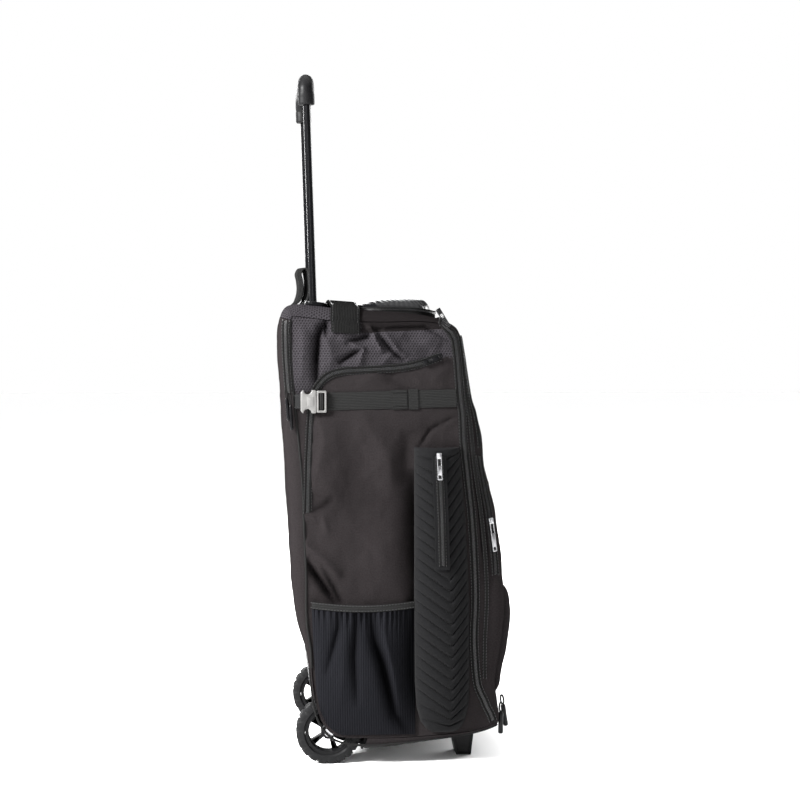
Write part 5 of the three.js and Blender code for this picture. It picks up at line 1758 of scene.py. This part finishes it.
class BAG_OT_straps(bpy.types.Operator):
    """Lay the compression straps with their keepers, tabs and side-release buckles"""

    bl_idname = "bag.straps"
    bl_label = "Straps and buckles"

    def execute(self, context):
        make_pair("strap", self.strap(), "strap")
        places = [(y, STRAP_Z) for y in (TAB.back, BUCKLE.back - TAB.under)]
        tab = side_stations(places, LIFT, TAB.step)
        thickness = BUCKLE.lift + STRAP_THICKNESS - TAB.sunk
        tab_parts = [ribbon(tab, TAB.width / 2, thickness, "rubber", TAB.round)]
        tab_parts += stitch_rows(raised(tab, thickness), TAB.stitches)
        make_pair("strap_tab", tab_parts, "strap_tab")
        make_pair("buckle_socket", self.socket(), "buckle_socket")
        make_pair("buckle_plug", self.plug(), "buckle_plug")
        return {"FINISHED"}

    def height(self, y):
        share = (BUCKLE.front - y) / (BUCKLE.front - STRAP_FRONT.y)
        return STRAP_Z + STRAP_FRONT.rise * share

    def line(self, back, front, lift):
        y = np.linspace(back, front, STRAP_BENDS)
        return side_stations(list(zip(y, self.height(y))), lift, STRAP_STEP)

    def strap(self):
        lift = LIFT + STRAP_LIFT
        top = lift + STRAP_THICKNESS
        run = self.line(BUCKLE.front + STRAP_TUCK, STRAP_FRONT.y, lift)
        parts = [ribbon(run, STRAP_WIDTH / 2, STRAP_THICKNESS, "webbing")]
        for keeper in KEEPERS:
            over = self.line(keeper.back, keeper.front, top - KEEPER.sunk)
            parts.append(ribbon(over, STRAP_WIDTH / 2 + keeper.over, KEEPER.thickness, "webbing"))
        sewn = self.line(STRAP_SEWN.back, STRAP_SEWN.front, top + STRAP_SEWN.lift)
        return parts + stitch_rows(sewn, STRAP_SEWN.stitches, "zip")

    def place(self):
        """Buckle plates are drawn with x running forward and y up, and face out of the side."""
        widest = max(half_width(y, STRAP_Z) for y in (BUCKLE.back, BUCKLE.front))
        under = widest + BUCKLE.lift
        turn = Matrix(((0, 0, -1, 0), (-1, 0, 0, 0), (0, 1, 0, 0), (0, 0, 0, 1)))
        return Matrix.Translation((-under - BUCKLE.thickness / 2, 0.0, STRAP_Z)) @ turn

    def socket(self):
        place = self.place()
        half = BUCKLE.width / 2
        back, split = -BUCKLE.back, -BUCKLE.split - SOCKET.gap
        reach, depth, corner = SOCKET.scoop_half, SOCKET.scoop_depth, SOCKET.corner
        middle = back + SOCKET.scoop_at
        turn = np.linspace(math.pi, 0, SCOOP_STEPS)
        top = [(back, half - SOCKET.nose), (back + SOCKET.cheek, half - SOCKET.cheek_in)]
        top += [(middle + reach * math.cos(a), half - depth * math.sin(a)) for a in turn]
        top += [(split - corner, half), (split, half - corner)]
        edge = top[::-1] + [(x, -y) for x, y in top]
        body = placed(plate([edge], BUCKLE.thickness, SOCKET.bevel, "buckle", MOULD_STEPS), place)
        shift = ((back + split) / 2 + SOCKET.rib_ahead, 0, SOCKET_RIB.lift)
        return [body, box_at(place, shift, SOCKET_RIB.sides, SOCKET_RIB.bevel, "buckle")]

    def plug(self):
        place = self.place()
        half = BUCKLE.width / 2 - PLUG["in"]
        front, split = -BUCKLE.front, -BUCKLE.split
        middle, half_x = (front + split) / 2, (front - split) / 2
        edge = shifted(rounded_loop(half_x, half, PLUG["corner"]), middle, 0)
        slot = rounded_loop(half_x - PLUG["slot_in"], half - PLUG["slot_under"], PLUG["slot_corner"])
        loops = [edge, shifted(slot, middle, 0)[::-1]]
        parts = [placed(plate(loops, BUCKLE.thickness, PLUG["bevel"], "buckle", MOULD_STEPS), place)]
        for bar, finish_name in (("bar", "buckle"), ("wrap", "webbing")):
            sides = (PLUG[bar], 2 * half - PLUG[f"{bar}_in"], PLUG[f"{bar}_deep"])
            shift = (middle, 0, PLUG[f"{bar}_lift"])
            parts.append(box_at(place, shift, sides, PLUG[f"{bar}_bevel"], finish_name))
        return parts


class BAG_OT_webbing(bpy.types.Operator):
    """Sew the grab handle over the lid and the haul loop behind the telescoping handle"""

    bl_idname = "bag.webbing"
    bl_label = "Grab handle and haul loop"

    def execute(self, context):
        make_piece("grab_handle", self.grab(), ["grab_handle"])
        make_piece("haul_loop", self.haul(), ["haul_loop"])
        return {"FINISHED"}

    def grab(self):
        """Up the left side, round the corner of the lid and in an arch to the middle, then mirrored."""
        corners, arches, patches = GRAB.corner_steps, GRAB.arch_steps, GRAB.patch_steps
        flat, turn = (column[: corners + 1] for column in across_columns(corners, 2))
        row = np.full(corners + 1, float(row_where("top", 0, GRAB.y)))
        up = panel_up(row, flat, turn)
        corner = panel_points(row, flat, turn) + GRAB.lift * up
        inward = outline_at(row)[2][0]
        shoulder = corner[-1]
        share = np.linspace(0, 1, arches + 1)[1:]
        quarter = math.pi / 2 * share
        lift = GRAB.rise * np.sin(quarter) ** GRAB.power
        arch = xyz(shoulder[0] * (1 - share), shoulder[1], shoulder[2] + lift)
        arch_up = unit(xyz(-GRAB.lean * np.cos(quarter), 0.0, 1.0))
        patch_z = np.linspace(GRAB.patch, corner[0, 2] - GRAB.patch_gap, patches)
        patch = side_point(float(GRAB.y), patch_z, GRAB.patch_lift)
        left = np.concatenate([patch, corner, arch])
        left_up = np.concatenate([same_way(LEFT, patches), up, arch_up])
        middle, ups = (np.concatenate([half, half[-2::-1] * MIRROR]) for half in (left, left_up))
        across = same_way((0.0, -inward[1], inward[0]), len(middle))
        strip = respaced(Stations(middle, ups, across), GRAB.step)
        half = GRAB.width / 2
        parts = [ribbon(strip, half, GRAB.thickness, "grab_webbing", GRAB.round)]
        parts += stitch_rows(raised(strip, GRAB.thickness), half - GRAB.edge)
        return parts + self.box_stitch(-1) + self.box_stitch(1)

    def box_stitch(self, sign):
        """A sewn box with a cross in it, on the patch at the foot of the handle."""
        half_y = GRAB.width / 2 - GRAB.edge
        low, high = GRAB.patch + GRAB.edge, GRAB.patch + GRAB.sewn
        corners = [(GRAB.y + a * half_y, b) for a, b in ((-1, low), (1, low), (1, high), (-1, high))]
        lines = list(zip(corners, corners[1:] + corners[:1])) + list(zip(corners[:2], corners[2:]))
        made = []
        for start, end in lines:
            line = side_stations([start, end], GRAB.patch_lift + GRAB.thickness)
            made.append(stitches(line if sign < 0 else reflect(line), 0.0, "webbing"))
        return made

    def haul(self):
        path = even_path(smooth_path(HAUL_LOOP, HAUL.bends), HAUL.step)
        middle = xyz(0.0, path[:, 0], path[:, 1])
        twist = HAUL.turn * np.clip((path[:, 1] - HAUL_LOOP[0].z) / HAUL.twist_over, 0, 1)
        across = xyz(np.cos(twist), np.sin(twist), 0.0)
        line = Stations(middle, unit(np.cross(across, np.gradient(middle, axis=0))), across)
        half = HAUL.width / 2
        strip = ribbon(line, half, HAUL.thickness, "webbing", HAUL.round)
        return [strip] + stitch_rows(raised(line, HAUL.thickness), half - HAUL.edge)


class BAG_OT_handle(bpy.types.Operator):
    """Make the telescoping handle's tubes and grip, and the bezel they slide through"""

    bl_idname = "bag.handle"
    bl_label = "Telescoping handle"

    def execute(self, context):
        heights = np.linspace(-TUBE_BELOW, HANDLE.rise + TUBE_IN_GRIP, TUBE_STEPS)
        path = [(-HANDLE.half, 0, z) for z in heights]
        rod = self.leaned(tube(path, TUBE_RADIUS, "tube", sides=TUBE_SIDES))
        make_pair("handle_tube", [rod], "handle_tube", ("handle", "handle"))
        make_piece("handle_grip", self.grip(), ["handle_grip"], "handle")
        self.bezel()
        return {"FINISHED"}

    def leaned(self, part):
        turn = Matrix.Rotation(-HANDLE.lean, 4, "X")
        return placed(part, Matrix.Translation((0, HANDLE.y, HANDLE.z)) @ turn)

    def grip(self):
        """A round bar with bent ends that widen into collars over the tubes."""
        half, bend = HANDLE.half, GRIP.bend
        top = HANDLE.rise + GRIP.height - GRIP.bar_top
        turn = np.linspace(math.pi, math.pi / 2, GRIP.bend_steps)
        heights = np.linspace(HANDLE.rise, top - bend, GRIP.leg_steps, endpoint=False)
        places = [(-half, 0, z) for z in heights]
        places += [(-half + bend + bend * math.cos(a), 0, top - bend + bend * math.sin(a)) for a in turn]
        places += [(x, 0, top) for x in np.linspace(-half + bend, 0, GRIP.bar_steps)[1:]]
        left = np.array(places)
        path = np.concatenate([left, left[-2::-1] * MIRROR])
        way = unit(np.gradient(path, axis=0))
        out = xyz(-way[:, 2], 0.0, way[:, 0])
        angle = even_turn(GRIP.sides)[None, :]
        level = np.abs(way[:, 0])[:, None]
        groove = self.collar_groove(path[:, 2])[:, None]
        bar = np.where(np.cos(angle) > 0, GRIP.bar_top, GRIP.bar_under)
        reach = GRIP.leg_half * (1 - level) + bar * level - groove
        deep_way = (np.cos(angle) * reach)[..., None] * out[:, None]
        flank_way = (np.sin(angle) * (GRIP.flank - groove))[..., None] * np.array(BACK)
        return [self.leaned(skin(path[:, None] + deep_way + flank_way, "matte_black"))]

    def collar_groove(self, z):
        """A shallow line where the collar meets the bend, and an eased lower lip."""
        line = np.exp(-(((z - HANDLE.rise - COLLAR.line) / COLLAR.line_half) ** 2))
        lip = np.clip((HANDLE.rise + COLLAR.lip - z) / COLLAR.lip, 0, 1)
        return COLLAR.line_depth * line + lip**2

    def bezel(self):
        """A plate that lies on the slope of the lid, with a hole for each tube."""
        middle, half_y = (BEZEL.back + BEZEL.front) / 2, (BEZEL.back - BEZEL.front) / 2
        loops = [shifted(rounded_loop(BEZEL.half, half_y, BEZEL.corner, WIDE_CORNER_STEPS), 0, middle)]
        bore = GUIDE_BORE + BEZEL.clear
        hole = [(bore * math.cos(a), bore * math.sin(a)) for a in -even_turn(BEZEL.hole_steps)]
        loops += [shifted(hole, side * HANDLE.half, HANDLE.y) for side in (-1, 1)]
        back, centre, front = (float(lid_height(y)) for y in (BEZEL.back, middle, BEZEL.front))
        thickness = BEZEL.share * (BEZEL.top - front - LIFT)
        made = plate(loops, thickness, BEZEL.bevel, "gloss_black", MOULD_STEPS)
        tilt = Matrix.Rotation(math.atan2(back - front, 2 * half_y), 4, "X")
        lifted = Matrix.Translation((0, middle, centre + LIFT + thickness / 2))
        place = lifted @ tilt @ Matrix.Translation((0, -middle, 0))
        make_piece("handle_bezel", [placed(made, place)], ["handle_bezel"])


class BAG_OT_base(bpy.types.Operator):
    """Mould the base with its wheel housings and the front feet"""

    bl_idname = "bag.base"
    bl_label = "Base and feet"

    def execute(self, context):
        rows, flat, turn = panel_grid("base", PANEL_STEPS["base_flat"])
        outer, inner = (panel_points(rows, flat, turn, inset) for inset in (0.0, BASE_WALL))
        base = make_piece("base_tub", [wall(outer, inner, "matte_black")], ["base_tub"])
        wide = HOUSING.bore + HOUSING.wall + HOUSING.clear
        inside, outside = HOUSING.inner - HOUSING.clear, HOUSING.outer + HOUSING.beyond
        for side in (-1, 1):
            ends = np.array([[side * inside], [side * outside]])
            well = skin(round_axle(ends, wide, even_turn(HOUSING.drum_steps)[None, :]), "matte_black")
            self.carve(base, well, "DIFFERENCE")
        self.give_cloth_rim(base)
        self.housings()
        make_pair("foot", self.foot(), "foot")
        return {"FINISHED"}

    def give_cloth_rim(self, base):
        """Above its piping the base is covered in the cloth of the sides."""
        base.data.materials.append(finish("plain_cloth"))
        inset = CORNER * (1 - math.sin(PIPING.base_turn))
        for face in base.data.polygons:
            x, y, z = face.center / MM
            if abs(x) > half_width(y, z) - inset:
                face.material_index = len(base.data.materials) - 1

    def carve(self, piece, tool, operation):
        """Cut a piece by a part, or keep only what lies in it."""
        data = bpy.data.meshes.new("tool")
        data.from_pydata((tool.points * MM).tolist(), [], tool.faces)
        mesh = bmesh.new()
        mesh.from_mesh(data)
        bmesh.ops.recalc_face_normals(mesh, faces=mesh.faces)
        mesh.to_mesh(data)
        mesh.free()
        holder = bpy.data.objects.new("tool", data)
        bpy.context.scene.collection.objects.link(holder)
        change = piece.modifiers.new("carve", "BOOLEAN")
        change.operation = operation
        change.solver = "EXACT"
        change.object = holder
        bpy.context.view_layer.update()
        made = bpy.data.meshes.new_from_object(piece.evaluated_get(bpy.context.evaluated_depsgraph_get()))
        piece.modifiers.clear()
        piece.data = made
        made.shade_smooth()
        made.set_sharp_from_angle(angle=math.radians(SHARP_ANGLE))
        bpy.data.objects.remove(holder)
        bpy.data.meshes.remove(data)

    def housings(self):
        """Cups round the wheels, kept only where they lie within the base."""
        bore, outside, hole = HOUSING.bore, HOUSING.bore + HOUSING.wall, HOUSING.axle_bore
        inner, outer, floor = HOUSING.inner, HOUSING.outer, HOUSING.inner + HOUSING.wall
        across = np.array((inner, inner, outer, outer, floor, floor))[:, None]
        reach = np.array((hole, outside, outside, bore, bore, hole))[:, None]
        cup = skin(round_axle(-across, reach, even_turn(WHEEL.steps)[None, :]), "matte_black", ring=True)
        line = outline_at(np.linspace(*span("base"), HOUSING.trim_steps))[0]
        outline = np.vstack([line, (line[0, 0], line[-1, 1])])
        ends = [-outer - HOUSING.trim, -inner + HOUSING.trim]
        within = skin([[(x, y, z) for y, z in outline] for x in ends], "matte_black")
        cups = make_pair("wheel_housing", [cup], "wheel_housing")
        for piece, tool in zip(cups, (within, *mirrored([within]))):
            self.carve(piece, tool, "INTERSECT")

    def foot(self):
        """A tapered foot with a recess in each outer face."""
        edges = (FOOT.back, FOOT.front)
        under = [float(outline_at(row_where("base", 0, y))[0][1]) - LIFT for y in edges]
        profile = [(FOOT.sole_front, 0.0), (FOOT.sole_back, 0.0)]
        profile += [(y, min(FOOT.top, high)) for y, high in zip(edges, under)]
        mesh = bmesh.new()
        near, far = (
            [mesh.verts.new((x, y, z)) for y, z in profile]
            for x in (-FOOT.x - FOOT.half, -FOOT.x + FOOT.half)
        )
        faces = [mesh.faces.new(near), mesh.faces.new(far[::-1])]
        for k in range(len(profile)):
            after = (k + 1) % len(profile)
            faces.append(mesh.faces.new((near[k], far[k], far[after], near[after])))
        bmesh.ops.recalc_face_normals(mesh, faces=mesh.faces)
        shown = [faces[0], faces[1], faces[-1]]
        bmesh.ops.inset_individual(mesh, faces=shown, thickness=FOOT_RECESS.border, depth=0.0)
        sunk = {"thickness": FOOT_RECESS.slope, "depth": -FOOT_RECESS.depth}
        bmesh.ops.inset_individual(mesh, faces=shown, **sunk)
        sharp = [edge for edge in mesh.edges if edge.calc_face_angle(0) > FOOT_RECESS.sharp]
        rounding = {"offset": FOOT_RECESS.bevel, "segments": 3, "profile": 0.5, "clamp_overlap": True}
        bmesh.ops.bevel(mesh, geom=sharp, affect="EDGES", **rounding)
        return [from_bmesh(mesh, "matte_black")]


class BAG_OT_wheels(bpy.types.Operator):
    """Make the lugged tyres and spoked rims"""

    bl_idname = "bag.wheels"
    bl_label = "Wheels"

    def execute(self, context):
        bodies = ("wheel_left", "wheel_right")
        make_pair("tyre", [self.tyre()], "tyre", bodies)
        make_pair("rim", self.rim(), "rim", bodies)
        for side in SIDES:
            for node, slot in (("axle", "steel"), ("tube_guide", "matte_black")):
                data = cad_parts[f"{node}_{side}"].data
                data.materials.clear()
                data.materials.append(finish(slot))
        return {"FINISHED"}

    def turned(self, half_section):
        """Across and radius of a whole section from its left half."""
        rows = list(half_section) + [(-row.across, row.radius) for row in reversed(half_section)]
        return np.array(rows).T[:, :, None]

    def tyre(self):
        """A square-shouldered tyre: lugs run in from both edges, with a groove between each two."""
        lugs, radius = TREAD.lugs, WHEEL.radius
        angle = even_turn(lugs * TREAD.steps)[None, :]
        across, reach = self.turned(TYRE)
        slant = TREAD.slant * np.abs(across) / WHEEL.half
        phase = ((angle + slant) * lugs / (2 * math.pi) + 0.5) % 1.0
        groove = sum(np.exp(-(((phase - edge) / TREAD.groove) ** 4)) for edge in (0.0, 1.0))
        central = np.abs(across) < TREAD.middle
        tread = np.clip((reach - (radius - TREAD.below)) / TREAD.over, 0, 1)
        tread = tread * np.where(central, TREAD.middle_share, 1.0)
        cut = TREAD.depth * np.maximum(groove * tread, np.where(central, TREAD.middle_cut, 0.0))
        loops = round_axle(across - WHEEL.x, reach - cut, angle - math.pi / 2)
        return skin(loops, "tyre", ring=True)

    def rim(self):
        """The ring and the hub, with slotted spokes between them."""
        angle = even_turn(WHEEL.steps)[None, :]
        parts = []
        for half_section in (RIM_RING, RIM_HUB):
            across, reach = self.turned(half_section)
            parts.append(skin(round_axle(across - WHEEL.x, reach, angle), "matte_black", ring=True))
        sector = 2 * math.pi / SPOKES.count
        gap = sector * (1 - SPOKES.share) / 2
        foot, tip, inner, outer = SPOKES.foot, SPOKES.tip, SPOKES.slot_foot, SPOKES.slot_tip
        half_foot, half_tip = foot * gap * SPOKES.foot_spread, tip * gap * SPOKES.tip_spread
        edge = [(foot, -half_foot), (tip, -half_tip), (tip, half_tip), (foot, half_foot)]
        narrow, wide = SPOKES.slot_half, half_tip * SPOKES.slot_share
        slot = [(inner, -narrow), (inner, narrow), (outer, wide), (outer, -wide)]
        turn = Matrix(((0, 0, -1, 0), (1, 0, 0, 0), (0, 1, 0, 0), (0, 0, 0, 1)))
        centre = Matrix.Translation((-WHEEL.x, AXLE.y, AXLE.z))
        for k in range(SPOKES.count):
            spoke = plate([edge, slot], SPOKES.thickness, SPOKES.bevel, "matte_black", SPOKES.bevel_steps)
            spin = Matrix.Rotation((k + 0.5) * sector, 4, "Z")
            parts.append(placed(spoke, centre @ turn @ spin))
        return parts


OPERATORS = (
    BAG_OT_stage, BAG_OT_panels, BAG_OT_front_pockets, BAG_OT_pod, BAG_OT_sleeves, BAG_OT_elastic_pockets,
    BAG_OT_zips, BAG_OT_straps, BAG_OT_webbing, BAG_OT_handle, BAG_OT_base, BAG_OT_wheels,
)


class BAG_PT_sidebar(bpy.types.Panel):
    """Lists the bag's operators, sizes and colours"""

    bl_idname = "BAG_PT_sidebar"
    bl_label = "Wheeled catcher bag"
    bl_space_type = "VIEW_3D"
    bl_region_type = "UI"
    bl_category = "Bag"

    def draw(self, context):
        column = self.layout.column()
        for operator in OPERATORS:
            column.operator(operator.bl_idname)
        for group in (context.scene.bag_sizes, context.scene.bag_colours):
            for name in group.bl_rna.properties.keys():
                if name not in ("name", "rna_type"):
                    column.prop(group, name)


CLASSES = (BagColours, BagSizes, *OPERATORS, BAG_PT_sidebar)


def register():
    for cls in CLASSES:
        bpy.utils.register_class(cls)
    bpy.types.Scene.bag_colours = PointerProperty(type=BagColours)
    bpy.types.Scene.bag_sizes = PointerProperty(type=BagSizes)


def unregister():
    del bpy.types.Scene.bag_sizes
    del bpy.types.Scene.bag_colours
    for cls in reversed(CLASSES):
        bpy.utils.unregister_class(cls)


def main():
    register()
    for operator in OPERATORS:
        group, name = operator.bl_idname.split(".")
        getattr(getattr(bpy.ops, group), name)()


if __name__ == "__main__":
    main()
